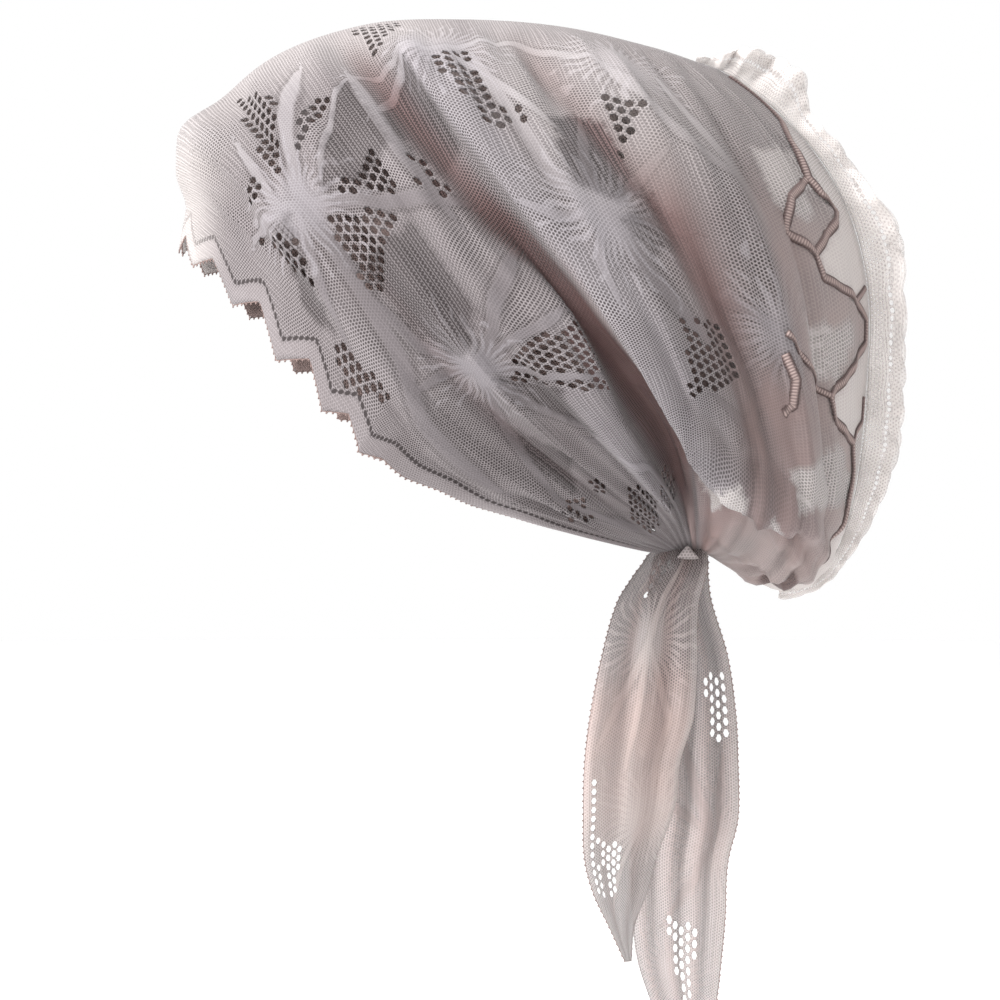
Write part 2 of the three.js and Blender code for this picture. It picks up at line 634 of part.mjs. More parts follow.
// One named piece with the finish of the lace
function addPiece(group, name, geometry, colour) {
  const material = new THREE.MeshStandardMaterial({ color: colour, roughness: 0.85, metalness: 0 });
  const mesh = new THREE.Mesh(geometry, material);
  mesh.name = name;
  group.add(mesh);
}

const headWrap = new THREE.Group();
addPiece(headWrap, 'cap', makeCap(), 0xb3a3a6);
addPiece(headWrap, 'back_frill', makeFrill(), 0xe6deda);
addPiece(headWrap, 'nape_knot', makeKnot(), 0xb09c9f);
addPiece(headWrap, 'tie_left', makeTie(TIE_LEFT), 0xb8a8ab);
addPiece(headWrap, 'tie_right', makeTie(TIE_RIGHT), 0xbcadb0);

export default headWrap;
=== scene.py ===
"""Looks of a pre-tied stretch-lace head wrap: cap, seam frill, knot and two hanging ties.

Shapes are worked out in millimetres as whole numpy arrays and put into the meshes in metres.
The cap is a folded surface of two parameters, u from the mid-line down to the gathered neck
and v from the front edge back to the centre-back seam, covered with a honeycomb of lace cells
whose eyelets are cut through. The left half is worked out and the right half is its mirror.
"""
import logging
import math
from dataclasses import dataclass, field
from enum import Enum
from typing import Callable

import bmesh
import bpy
import numpy as np
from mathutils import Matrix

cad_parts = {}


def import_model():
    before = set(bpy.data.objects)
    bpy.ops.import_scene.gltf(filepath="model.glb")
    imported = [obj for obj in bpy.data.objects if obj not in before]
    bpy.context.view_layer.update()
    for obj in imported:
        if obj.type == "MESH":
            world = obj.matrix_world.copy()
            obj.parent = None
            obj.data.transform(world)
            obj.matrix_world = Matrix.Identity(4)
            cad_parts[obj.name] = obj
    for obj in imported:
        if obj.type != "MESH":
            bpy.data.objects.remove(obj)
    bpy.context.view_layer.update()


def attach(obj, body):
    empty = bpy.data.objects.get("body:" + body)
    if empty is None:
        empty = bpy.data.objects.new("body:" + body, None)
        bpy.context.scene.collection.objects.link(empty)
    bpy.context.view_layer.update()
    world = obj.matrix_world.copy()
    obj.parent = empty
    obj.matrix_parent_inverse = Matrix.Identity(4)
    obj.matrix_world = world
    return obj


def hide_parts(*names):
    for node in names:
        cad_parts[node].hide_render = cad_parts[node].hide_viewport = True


LOG = logging.getLogger("head_wrap")
MM = 0.001
BAND_GROUPS = 4
BAND_FAR = 6.0
BAND_TIP = 0.55
BAND_TAPER = 12.0
BAND_REACH = 9.0
BODY = "root"

Array = np.ndarray


class Half(Enum):
    """Which half of the wrap a piece lies on, as the sign of its x."""

    LEFT = 1
    RIGHT = -1

    @property
    def side(self) -> str:
        """The half's name as the names of pieces end."""
        return self.name.lower()


# Tables of the cap


@dataclass(frozen=True)
class Guide:
    """One meridian of the cap, in millimetres, from its top past its widest place to the neck."""

    v: float
    top_y: float
    top_z: float
    side_y: float
    side_z: float
    half_width: float
    bow: float
    reach: float
    low_y: float
    low_z: float
    low_x: float


@dataclass(frozen=True)
class Fold:
    """One fold of the cloth, in millimetres.

    Height is positive for a ridge; front and back are its half-widths towards the front edge and
    towards the seam; lean tips the crest towards the seam. Path is the crest in (u, v) from the
    upper end to the lower one.
    """

    height: float
    front: float
    back: float
    lean: float
    path: tuple[tuple[float, float], ...]


GUIDES = (
    Guide(0.00, -95.4, 9.0, -29.9, -68.4, 74, 5.0, 21.6, 55.8, -107.6, 34),
    Guide(0.12, -91.8, 39.6, -14.4, -45.0, 77, 2.2, 39.6, 55.8, -101.6, 38),
    Guide(0.25, -69.5, 66.2, 5.4, -34.2, 79, 0.0, 43.2, 66.6, -90.0, 42),
    Guide(0.40, -33.5, 80.3, 32.4, -30.6, 80, -2.2, 39.6, 75.6, -79.2, 44),
    Guide(0.55, 2.5, 82.4, 61.2, -28.8, 79, -1.4, 39.6, 88.2, -82.8, 44),
    Guide(0.70, 37.8, 79.9, 90.0, -27.0, 71, 2.9, 46.8, 113.4, -111.6, 42),
    Guide(0.85, 70.2, 72.7, 120.6, -28.8, 51, 8.6, 57.6, 135.0, -140.4, 33),
    Guide(0.95, 88.2, 67.0, 140.4, -34.2, 22, 14.4, 61.2, 140.4, -144.0, 16),
    Guide(1.00, 95.4, 64.4, 148.7, -36.0, 0, 17.3, 57.6, 142.2, -144.0, 0),
)

FOLDS = (
    # Forehead
    Fold(6.0, 8.0, 10.0, 0.0, ((-0.15, 0.125), (0.0, 0.125), (0.12, 0.13), (0.26, 0.15))),
    Fold(-4.5, 7.0, 8.0, 0.0, ((-0.15, 0.03), (0.0, 0.03), (0.10, 0.035), (0.22, 0.05))),
    # Hem and temple
    Fold(4.5, 8.5, 14.0, -1.5,
         ((0.20, 0.14), (0.38, 0.10), (0.53, 0.09), (0.63, 0.07), (0.72, 0.07), (0.80, 0.11), (0.97, 0.15))),
    Fold(-3.0, 3.2, 3.6, 0.0,
         ((0.48, 0.066), (0.60, 0.050), (0.68, 0.045), (0.75, 0.075), (0.83, 0.095), (0.94, 0.10))),
    Fold(-2.4, 7.0, 7.0, 0.0, ((0.25, 0.20), (0.50, 0.175), (0.75, 0.18), (0.95, 0.21))),
    Fold(3.6, 7.5, 7.5, -1.5, ((0.04, 0.24), (0.30, 0.235), (0.50, 0.23), (0.75, 0.26), (0.95, 0.28))),
    # Crown
    Fold(3.8, 7.0, 7.0, -1.5, ((0.03, 0.32), (0.30, 0.33), (0.60, 0.34), (0.95, 0.35))),
    Fold(-6.0, 8.0, 7.0, 0.0, ((0.06, 0.36), (0.24, 0.39), (0.38, 0.43), (0.50, 0.47))),
    # The deep recess between its two flaps
    Fold(-12.0, 11.5, 10.0, 0.0,
         ((0.34, 0.43), (0.47, 0.475), (0.58, 0.48), (0.70, 0.47), (0.82, 0.465), (0.96, 0.47))),
    Fold(7.0, 15.0, 5.0, 6.5,
         ((0.38, 0.425), (0.49, 0.425), (0.59, 0.41), (0.69, 0.39), (0.81, 0.385), (0.96, 0.43))),
    Fold(10.0, 5.5, 14.0, -6.5,
         ((0.10, 0.43), (0.25, 0.465), (0.39, 0.505), (0.47, 0.53), (0.57, 0.545), (0.67, 0.565),
          (0.735, 0.61), (0.755, 0.68), (0.745, 0.79), (0.72, 0.88))),
    Fold(-4.0, 8.0, 7.0, 0.0, ((0.70, 0.49), (0.79, 0.53), (0.84, 0.61), (0.86, 0.71), (0.86, 0.82))),
    # Pouch
    Fold(5.0, 6.0, 8.0, -3.0,
         ((0.10, 0.55), (0.30, 0.575), (0.47, 0.60), (0.60, 0.62), (0.67, 0.67), (0.69, 0.76))),
    Fold(-5.5, 8.0, 8.0, 0.0,
         ((0.08, 0.61), (0.20, 0.63), (0.32, 0.67), (0.42, 0.71), (0.52, 0.725), (0.62, 0.74))),
    Fold(4.2, 9.0, 9.0, 0.0,
         ((0.08, 0.70), (0.27, 0.74), (0.37, 0.79), (0.50, 0.81), (0.64, 0.82), (0.80, 0.86))),
    Fold(-2.8, 7.0, 7.0, 0.0, ((0.22, 0.84), (0.45, 0.885), (0.65, 0.89), (0.83, 0.93))),
    # Puckers beside the neck
    Fold(3.0, 4.5, 5.5, 0.0, ((0.93, 0.60), (0.90, 0.70), (0.87, 0.82), (0.82, 0.93))),
    Fold(-2.8, 4.0, 4.0, 0.0, ((0.95, 0.68), (0.93, 0.78), (0.90, 0.88), (0.86, 0.95))),
    Fold(2.6, 4.0, 4.5, 0.0, ((0.68, 0.78), (0.75, 0.84), (0.79, 0.90), (0.80, 0.96))),
    Fold(2.4, 4.0, 4.0, 0.0, ((0.56, 0.86), (0.64, 0.90), (0.70, 0.93), (0.74, 0.97))),
)


@dataclass(frozen=True)
class Band:
    """One dense woven band: its group, half-width in millimetres and path.

    Bands of one group never run beside each other, so each group needs one distance only.
    """

    group: int
    half_width: float
    path: tuple[tuple[float, float], ...]


# Bands of the cap's lace, with paths in (u, v)
CAP_BANDS = (
    Band(0, 2.0, ((0.191, 0.151), (0.260, 0.140), (0.334, 0.129))),
    Band(0, 2.4, ((0.186, 0.349), (0.310, 0.350), (0.383, 0.366))),
    Band(0, 2.1, ((0.416, 0.144), (0.490, 0.160), (0.547, 0.230), (0.631, 0.270), (0.694, 0.334))),
    Band(0, 1.6, ((0.270, 0.646), (0.336, 0.614), (0.397, 0.607), (0.441, 0.563), (0.480, 0.560))),
    Band(0, 1.7, ((0.455, 0.690), (0.491, 0.760), (0.519, 0.806), (0.587, 0.804))),
    Band(0, 1.8, ((0.764, 0.121), (0.853, 0.163), (0.960, 0.200))),
    Band(1, 2.8,
         ((0.150, 0.285), (0.293, 0.173), (0.384, 0.153), (0.489, 0.123), (0.563, 0.085), (0.701, 0.066))),
    Band(1, 1.7, ((0.547, 0.230), (0.506, 0.357), (0.487, 0.414))),
    Band(1, 2.8,
         ((0.200, 0.535), (0.279, 0.550), (0.357, 0.561), (0.397, 0.607), (0.454, 0.624), (0.535, 0.670))),
    Band(1, 1.7, ((0.174, 0.470), (0.186, 0.349))),
    Band(1, 1.8, ((0.617, 0.654), (0.699, 0.750), (0.706, 0.811))),
    Band(1, 2.2, ((0.193, 0.707), (0.303, 0.761), (0.357, 0.816))),
    Band(1, 1.8, ((0.701, 0.303), (0.776, 0.386), (0.917, 0.413))),
    Band(2, 2.3, ((0.270, 0.060), (0.307, 0.160), (0.354, 0.267), (0.370, 0.400))),
    Band(2, 1.8, ((0.530, 0.097), (0.535, 0.160), (0.547, 0.230), (0.579, 0.339), (0.583, 0.411))),
    Band(2, 1.8, ((0.326, 0.730), (0.349, 0.689), (0.397, 0.607), (0.396, 0.541), (0.379, 0.503))),
    Band(2, 1.7, ((0.254, 0.350), (0.200, 0.419), (0.174, 0.496), (0.136, 0.616), (0.193, 0.707))),
    Band(2, 1.8, ((0.206, 0.791), (0.317, 0.814), (0.394, 0.827))),
    Band(3, 1.1, ((0.194, 0.343), (0.314, 0.204))),
    Band(3, 1.7, ((0.307, 0.160), (0.387, 0.099), (0.430, 0.070))),
    Band(3, 2.0, ((0.424, 0.420), (0.463, 0.356), (0.547, 0.230), (0.633, 0.176), (0.764, 0.121))),
    Band(3, 1.5, ((0.397, 0.607), (0.406, 0.676), (0.414, 0.721))),
    Band(3, 1.6, ((0.174, 0.496), (0.241, 0.556), (0.301, 0.601))),
    Band(3, 1.6, ((0.494, 0.914), (0.519, 0.806), (0.601, 0.743), (0.667, 0.684))),
)

# Fields of dark ribbed net as corners in (u, v); the last one, at the tip of the pouch, is painted shadow
DARK_FIELDS = (
    ((0.314, 0.204), (0.194, 0.343), (0.300, 0.345), (0.325, 0.270)),
    ((0.254, 0.350), (0.190, 0.450), (0.310, 0.450), (0.345, 0.385)),
    ((0.310, 0.100), (0.300, 0.150), (0.370, 0.095), (0.420, 0.060), (0.370, 0.040)),
    ((0.400, 0.170), (0.380, 0.300), (0.470, 0.300), (0.530, 0.220), (0.470, 0.165)),
    ((0.560, 0.240), (0.600, 0.340), (0.700, 0.330), (0.630, 0.280)),
    ((0.650, 0.190), (0.720, 0.240), (0.780, 0.150), (0.700, 0.150)),
    ((0.285, 0.595), (0.360, 0.588), (0.381, 0.619), (0.373, 0.669), (0.314, 0.677), (0.260, 0.667)),
    ((0.360, 0.700), (0.400, 0.620), (0.440, 0.640), (0.420, 0.720)),
    # Painted shadow at the tip of the pouch
    ((0.845, 0.840), (0.840, 0.950), (0.930, 0.960), (0.925, 0.850)),
)

# Corners of the stair-like front edge as (u, depth in millimetres beyond the front guide line)
SCALLOPS = (
    (0.000, 5.0), (0.035, 10.0), (0.075, 3.0), (0.125, 11.5), (0.180, 4.0), (0.240, 13.0), (0.292, 3.0),
    (0.344, 13.8), (0.392, 1.8), (0.436, 9.6), (0.468, 1.0), (0.510, 5.0), (0.560, 0.6), (0.610, 2.2),
    (0.660, 0.6), (0.710, 2.2), (0.760, 0.8), (0.810, 1.8), (0.860, 0.6), (0.920, 0.5), (1.000, 0.0),
)

# Fields of eyelets as corners in (u, v)
EYELET_FIELDS = (
    ((0.105, 0.195), (0.180, 0.245), (0.278, 0.155)),
    ((0.240, 0.095), (0.235, 0.138), (0.280, 0.138)),
    ((0.205, 0.275), (0.217, 0.305), (0.275, 0.185), (0.262, 0.205)),
    ((0.330, 0.220), (0.352, 0.320), (0.290, 0.323)),
    ((0.300, 0.365), (0.368, 0.400), (0.357, 0.335)),
    ((0.330, 0.160), (0.372, 0.290), (0.440, 0.160), (0.383, 0.155)),
    ((0.542, 0.300), (0.485, 0.440), (0.613, 0.420), (0.580, 0.268)),
    ((0.278, 0.068), (0.328, 0.125), (0.398, 0.092)),
    ((0.405, 0.052), (0.515, 0.080), (0.453, 0.010)),
    ((0.200, 0.480), (0.175, 0.525), (0.297, 0.575), (0.300, 0.510)),
    ((0.500, 0.640), (0.505, 0.715), (0.593, 0.700), (0.615, 0.605)),
    ((0.238, 0.680), (0.265, 0.740), (0.323, 0.677)),
    ((0.770, 0.205), (0.785, 0.245), (0.810, 0.190)),
    ((0.060, 0.380), (0.060, 0.470), (0.150, 0.400)),
    ((0.812, 0.275), (0.812, 0.310), (0.850, 0.345), (0.905, 0.275), (0.925, 0.185), (0.875, 0.185)),
    ((0.822, 0.365), (0.826, 0.425), (0.875, 0.440), (0.890, 0.330)),
    ((0.765, 0.110), (0.790, 0.165), (0.815, 0.140), (0.815, 0.060)),
)

# Middles of the feathery starbursts as (u, v)
STARBURSTS = (
    (0.307, 0.160),
    (0.547, 0.230),
    (0.397, 0.607),
    (0.519, 0.806),
    (0.174, 0.496),
    (0.190, 0.740),
)

# The zigzag braid beside the seam in (u, v), and the bars that close its diamonds
SEAM_ZIGZAG = (
    (0.095, 0.988), (0.164, 0.985), (0.235, 0.975), (0.274, 0.956), (0.329, 0.946), (0.350, 0.951),
    (0.367, 0.973), (0.421, 0.910), (0.444, 0.916), (0.460, 0.970), (0.474, 0.990), (0.496, 0.988),
    (0.540, 0.933), (0.563, 0.904), (0.583, 0.910), (0.601, 0.957), (0.631, 0.961), (0.679, 0.959),
    (0.755, 0.940), (0.802, 0.945),
)
SEAM_BARS = (
    ((0.460, 0.970), (0.445, 0.993)),
    ((0.516, 0.803), (0.544, 0.841), (0.563, 0.904)),
    ((0.539, 0.797), (0.566, 0.804), (0.596, 0.797), (0.611, 0.777)),
    ((0.601, 0.957), (0.577, 0.990), (0.550, 0.990)),
    ((0.421, 0.910), (0.400, 0.880), (0.360, 0.900), (0.329, 0.946)),
)

# Patches of white net in the smooth pouch as corners in (u, v)
NET_PATCHES = (
    ((0.830, 0.551), (0.717, 0.670), (0.740, 0.691), (0.883, 0.596)),
    ((0.734, 0.731), (0.796, 0.796), (0.746, 0.759)),
    ((0.680, 0.774), (0.610, 0.930), (0.670, 0.980), (0.720, 0.793)),
    ((0.599, 0.955), (0.581, 0.990), (0.630, 0.990), (0.646, 0.984)),
    ((0.500, 0.860), (0.480, 0.960), (0.540, 0.930), (0.550, 0.880)),
    ((0.300, 0.880), (0.290, 0.950), (0.390, 0.920), (0.370, 0.870)),
)


@dataclass(frozen=True)
class Zone:
    """A soft-edged zone of the cap's cloth.

    Strength holds where both shares are past the second of their bounds, and fades to zero at
    the first. Bounds may run either way. A zone without bounds for u reaches over all of u.
    """

    strength: float
    along: tuple[float, float] | None
    across: tuple[float, float]

    def at(self, u: Array, v: Array) -> Array:
        """The zone's strength at each (u, v)."""
        reach = rise(*self.along, u) if self.along else 1.0
        return self.strength * reach * rise(*self.across, v)


# Where the lace fades to near-white: forehead, crown, back, low pouch and seam
PALE_ZONES = (
    Zone(0.95, (0.24, 0.08), (0.22, 0.06)),
    Zone(0.40, (0.22, 0.08), (0.60, 0.45)),
    Zone(0.28, (0.42, 0.28), (0.50, 0.60)),
    Zone(0.30, (0.76, 0.84), (0.60, 0.70)),
    Zone(0.30, None, (0.75, 0.95)),
)

# Where the lace lets light through: forehead and pouch
SHEER_ZONES = (
    Zone(0.60, (0.26, 0.10), (0.24, 0.05)),
    Zone(0.58, None, (0.60, 0.92)),
)

# Where the lace is plain and satiny: three steps of the pouch
SATIN_ZONES = (
    Zone(1.0, (0.30, 0.42), (0.80, 0.85)),
    Zone(1.0, (0.52, 0.60), (0.70, 0.76)),
    Zone(1.0, (0.74, 0.80), (0.50, 0.60)),
)


def table_at(keys: Array, values: Array, x: Array) -> Array:
    """Cubic through the rows of a table.

    Formula: on each span the cubic Hermite curve whose end slopes are the rise between the two
    neighbouring rows over their distance.

    Args:
        keys: the rows' places, rising.
        values: the rows' values.
        x: where to read the table.

    Returns:
        The value at each x.
    """
    i = np.clip(np.searchsorted(keys, x, side="left") - 1, 0, len(keys) - 2)
    low = np.maximum(np.arange(len(keys)) - 1, 0)
    high = np.minimum(np.arange(len(keys)) + 1, len(keys) - 1)
    slope = (values[high] - values[low]) / (keys[high] - keys[low])
    span = keys[i + 1] - keys[i]
    t = (x - keys[i]) / span
    start = (2 * t**3 - 3 * t**2 + 1) * values[i] + (t**3 - 2 * t**2 + t) * span * slope[i]
    end = (3 * t**2 - 2 * t**3) * values[i + 1] + (t**3 - t**2) * span * slope[i + 1]
    return start + end


def rise(a: float, b: float, x: Array) -> Array:
    """Smooth step from 0 at a to 1 at b."""
    t = np.clip((x - a) / (b - a), 0, 1)
    return t * t * (3 - 2 * t)


def zones_at(zones: tuple[Zone, ...], u: Array, v: Array) -> Array:
    """Strength of the strongest zone at each (u, v)."""
    return np.max([zone.at(u, v) for zone in zones], axis=0)


def grid_faces(index: Array) -> Array:
    """Quadrilaterals between the rows and columns of a grid of vertex indices."""
    corners = [index[:-1, :-1], index[1:, :-1], index[1:, 1:], index[:-1, 1:]]
    return np.stack(corners, -1).reshape(-1, 4)


def unit(vectors: Array) -> Array:
    """Vectors of length one."""
    return vectors / np.maximum(np.linalg.norm(vectors, axis=-1, keepdims=True), 1e-9)


def nearest_on(path: Array, cloth: Array) -> tuple[Array, Array, Array, Array, float]:
    """Nearest place of a polyline.

    Args:
        path: the polyline as (m, 2).
        cloth: places as (n, 2).

    Returns:
        Distance, signed side, run along the polyline, unit steps across it, and its length.
    """
    along = np.diff(path, axis=0)
    length = np.linalg.norm(along, axis=1)
    offset = cloth[:, None] - path[:-1]
    t = np.clip((offset * along).sum(2) / length**2, 0, 1)
    distance = np.linalg.norm(offset - t[..., None] * along, axis=2)
    piece = distance.argmin(1)
    row = np.arange(len(cloth))
    run = (np.cumsum(length) - length)[piece] + t[row, piece] * length[piece]
    across = (np.column_stack([-along[:, 1], along[:, 0]]) / length[:, None])[piece]
    side = (across * offset[row, piece]).sum(1)
    return distance[row, piece], side, run, across, length.sum()


def band_notes(bands: tuple[Band, ...], scale: tuple[float, float], cloth: Array) -> dict[str, Array]:
    """How far each place lies from the nearest band of each group.

    Formula: the signed distance over the band's half-width, which narrows towards the band's
    ends, and a nearness that falls from one on the band to zero nine millimetres away.

    Args:
        bands: the bands.
        scale: millimetres of cloth per unit of the bands' paths.
        cloth: places as (n, 2) in millimetres.

    Returns:
        The notes band0, near0, band1, near1 and so on.
    """
    notes = {}
    for group in range(BAND_GROUPS):
        nearest = np.full(len(cloth), np.inf)
        signed = np.full(len(cloth), BAND_FAR)
        for band in bands:
            if band.group != group:
                continue
            distance, side, run, _, end = nearest_on(np.array(band.path) * scale, cloth)
            taper = rise(0, BAND_TAPER, run) * rise(end, end - BAND_TAPER, run)
            narrow = BAND_TIP + (1 - BAND_TIP) * taper
            closer = distance < nearest
            nearest = np.where(closer, distance, nearest)
            signed = np.where(closer, np.sign(side) * distance / (band.half_width * narrow), signed)
        notes[f"band{group}"] = np.clip(signed, -BAND_FAR, BAND_FAR)
        notes[f"near{group}"] = np.clip(1 - nearest / BAND_REACH, 0, 1)
    return notes


@dataclass(frozen=True)
class CapForm:
    """The folded surface of the cap's left half, in millimetres."""

    knot_y: float = 85.7
    knot_top: float = -109.4
    neck_radius: float = 6.5
    neck_front_gap: float = 0.08
    side_share: float = 0.5
    run_length: float = 285.0
    column_length: float = 245.0
    gathers: int = 19
    gather_height: float = 0.8
    flare_height: float = 7.0
    flare_v: float = 0.05
    flare_width_v: float = 0.06
    flare_width_u: float = 0.16
    crease_height: float = 0.75
    crumple_height: float = 2.0
    crest_steps: int = 4
    taper_in: float = 34.0
    taper_out: float = 40.0

    @property
    def scale(self) -> tuple[float, float]:
        """Millimetres of cloth per unit of u and of v."""
        return self.run_length, self.column_length

    def base(self, u: Array, v: Array) -> Array:
        """The cap without its folds.

        Formula: the upper run is a quarter ellipse from the mid-line to the widest place, bowed
        by a parabola; the lower run is a Bezier curve from there into the ring of the neck.

        Args:
            u: share of the run, from the mid-line to the neck.
            v: share of the columns, from the front edge to the seam.

        Returns:
            Places as (n, 3).
        """
        keys = np.array([g.v for g in GUIDES])
        row = {
            name: table_at(keys, np.array([getattr(g, name) for g in GUIDES], float), v)
            for name in Guide.__dataclass_fields__
            if name != "v"
        }
        top = np.stack([row["top_y"], row["top_z"]], -1)
        side = np.stack([row["side_y"], row["side_z"]], -1)
        span = side - top
        off = unit(np.stack([-span[:, 1], span[:, 0]], -1))
        angle = np.clip(u / self.side_share, 0, 1) * math.pi / 2
        share = 1 - np.cos(angle)
        upper = top + span * share[:, None] + off * (4 * row["bow"] * share * (1 - share))[:, None]
        upper = np.column_stack([row["half_width"] * np.sin(angle), upper])

        head = unit(span - off * 4 * row["bow"][:, None])
        turn = math.pi * (self.neck_front_gap + (1 - self.neck_front_gap) * v)
        ends = [
            np.column_stack([row["half_width"], side]),
            np.column_stack([row["half_width"], side + head * row["reach"][:, None]]),
            np.column_stack([row["low_x"], row["low_y"], row["low_z"]]),
            np.column_stack([
                self.neck_radius * np.sin(turn),
                self.knot_y - self.neck_radius * np.cos(turn),
                np.full_like(v, self.knot_top),
            ]),
        ]
        t = np.clip((u - self.side_share) / (1 - self.side_share), 0, 1)
        weights = [(1 - t) ** 3, 3 * t * (1 - t) ** 2, 3 * t**2 * (1 - t), t**3]
        lower = sum(w[:, None] * p for w, p in zip(weights, ends))
        return np.where((u < self.side_share)[:, None], upper, lower)

    def crest(self, fold: Fold) -> Array:
        """Crest of a fold as (n, 2) in millimetres of cloth: a cubic through its path."""
        path = np.array(fold.path) * self.scale
        rows = np.arange(len(path), dtype=float)
        at = np.linspace(0, rows[-1], (len(path) - 1) * self.crest_steps + 1)
        return np.column_stack([table_at(rows, path[:, 0], at), table_at(rows, path[:, 1], at)])

    def swell(self, fold: Fold, cloth: Array) -> tuple[Array, Array]:
        """Strength of a fold and the step across it.

        Formula: a bell over the distance to the nearest piece of the crest, wider on one side,
        times a smooth rise and fall along the crest.

        Args:
            fold: the fold.
            cloth: places as (n, 2) in millimetres of cloth.

        Returns:
            Strength from 0 to 1, and unit steps across the crest towards the seam as (n, 2).
        """
        distance, side, run, across, end = nearest_on(self.crest(fold), cloth)
        width = np.where(side < 0, fold.front, fold.back)
        taper = rise(0, self.taper_in, run) * rise(end, end - self.taper_out, run)
        return taper * np.exp(-((distance / width) ** 2)), across

    def relief(self, u: Array, v: Array) -> tuple[Array, Array, Array]:
        """Height of all folds and how far they shift the cloth.

        Formula: the sum of the folds; gathers are a sine round the neck; the forehead flare is
        a round bell.

        Args:
            u: share of the run.
            v: share of the columns.

        Returns:
            Height in millimetres and the shifts in u and in v.
        """
        cloth = np.column_stack([u, v]) * self.scale
        height = np.zeros_like(u)
        shift = np.zeros((len(u), 2))
        for fold in FOLDS:
            strength, across = self.swell(fold, cloth)
            height += fold.height * strength
            shift += across * (fold.lean * strength)[:, None]
        hold = rise(0, 0.08, u) * rise(1, 0.92, u) * rise(0, 0.05, v) * rise(1, 0.94, v)
        shift *= hold[:, None] / self.scale
        run = rise(0.55, 0.80, u) * rise(1.0, 0.93, u)
        height += self.gather_height * np.sin(2 * math.pi * self.gathers * v + 3 * np.sin(6 * v)) * run
        across = (v - self.flare_v) / self.flare_width_v
        height += self.flare_height * np.exp(-(across**2) - (u / self.flare_width_u) ** 2)
        return height, shift[:, 0], shift[:, 1]

    def creases(self, u: Array, v: Array) -> Array:
        """Small stretch creases of the thin cloth, in millimetres.

        Formula: three sines across the columns whose phase drifts along the run, faded out at
        the mid-line, the seam and the neck, and the product of two slanted waves low in the pouch.
        """
        full = 2 * math.pi
        wave = (
            np.sin(full * (21 * v + 1.3 * np.sin(3 * u)))
            + 0.7 * np.sin(full * (34 * v - 1.1 * u + 0.8 * np.sin(5 * v)))
            + 0.5 * np.sin(full * (13 * v + 2.2 * u))
        )
        fade = rise(0.02, 0.2, u) * rise(1.0, 0.85, u) * rise(1.0, 0.93, v) * rise(0.0, 0.08, v)
        crumple = np.sin(full * (9 * u + 5 * v) + 2 * np.sin(9 * v))
        crumple *= np.sin(full * (8 * v - 5 * u) + 1.5 * np.sin(11 * u))
        hem = rise(0.58, 0.74, u) * rise(0.99, 0.92, u) * rise(0.54, 0.66, v) * rise(1.0, 0.94, v)
        return self.crease_height * wave * fade + self.crumple_height * crumple * hem

    def place(self, u: Array, v: Array) -> Array:
        """Places of the folded cap as (n, 3)."""
        u = np.asarray(u, float)
        v = np.asarray(v, float)
        height, shift_u, shift_v = self.relief(u, v)
        s, t = u + shift_u, v + shift_v
        step = 1e-3
        along_u = self.base(np.minimum(s + step, 1), t) - self.base(np.maximum(s - step, 0), t)
        along_v = self.base(s, np.minimum(t + step, 1)) - self.base(s, np.maximum(t - step, 0))
        normal = np.cross(along_u, along_v)
        normal[(u == 0) | (v == 1), 0] = 0
        return self.base(s, t) + unit(normal) * (height + self.creases(u, v))[:, None]

    def frame(self, u: Array, v: Array) -> tuple[Array, Array, Array, Array]:
        """Place, outward normal, direction along u and direction along v, each as (n, 3)."""
        u = np.asarray(u, float)
        v = np.asarray(v, float)
        step = 2e-3
        along_u = unit(self.place(np.minimum(u + step, 1), v) - self.place(np.maximum(u - step, 0), v))
        along_v = unit(self.place(u, np.minimum(v + step, 1)) - self.place(u, np.maximum(v - step, 0)))
        return self.place(u, v), unit(np.cross(along_u, along_v)), along_u, along_v

    def scallop(self, u: Array) -> Array:
        """Depth in millimetres of the stair-like margin beyond the front guide line."""
        return np.interp(u, *np.array(SCALLOPS).T)

    def margin(self, u: Array, out: Array) -> Array:
        """Places on the margin, out millimetres beyond the front guide line."""
        place, _, _, along_v = self.frame(u, np.zeros_like(u))
        outward = -along_v
        outward[u == 0, 0] = 0
        place = place + unit(outward) * out[:, None]
        place[u == 0, 0] = 0
        return place


# Meshes


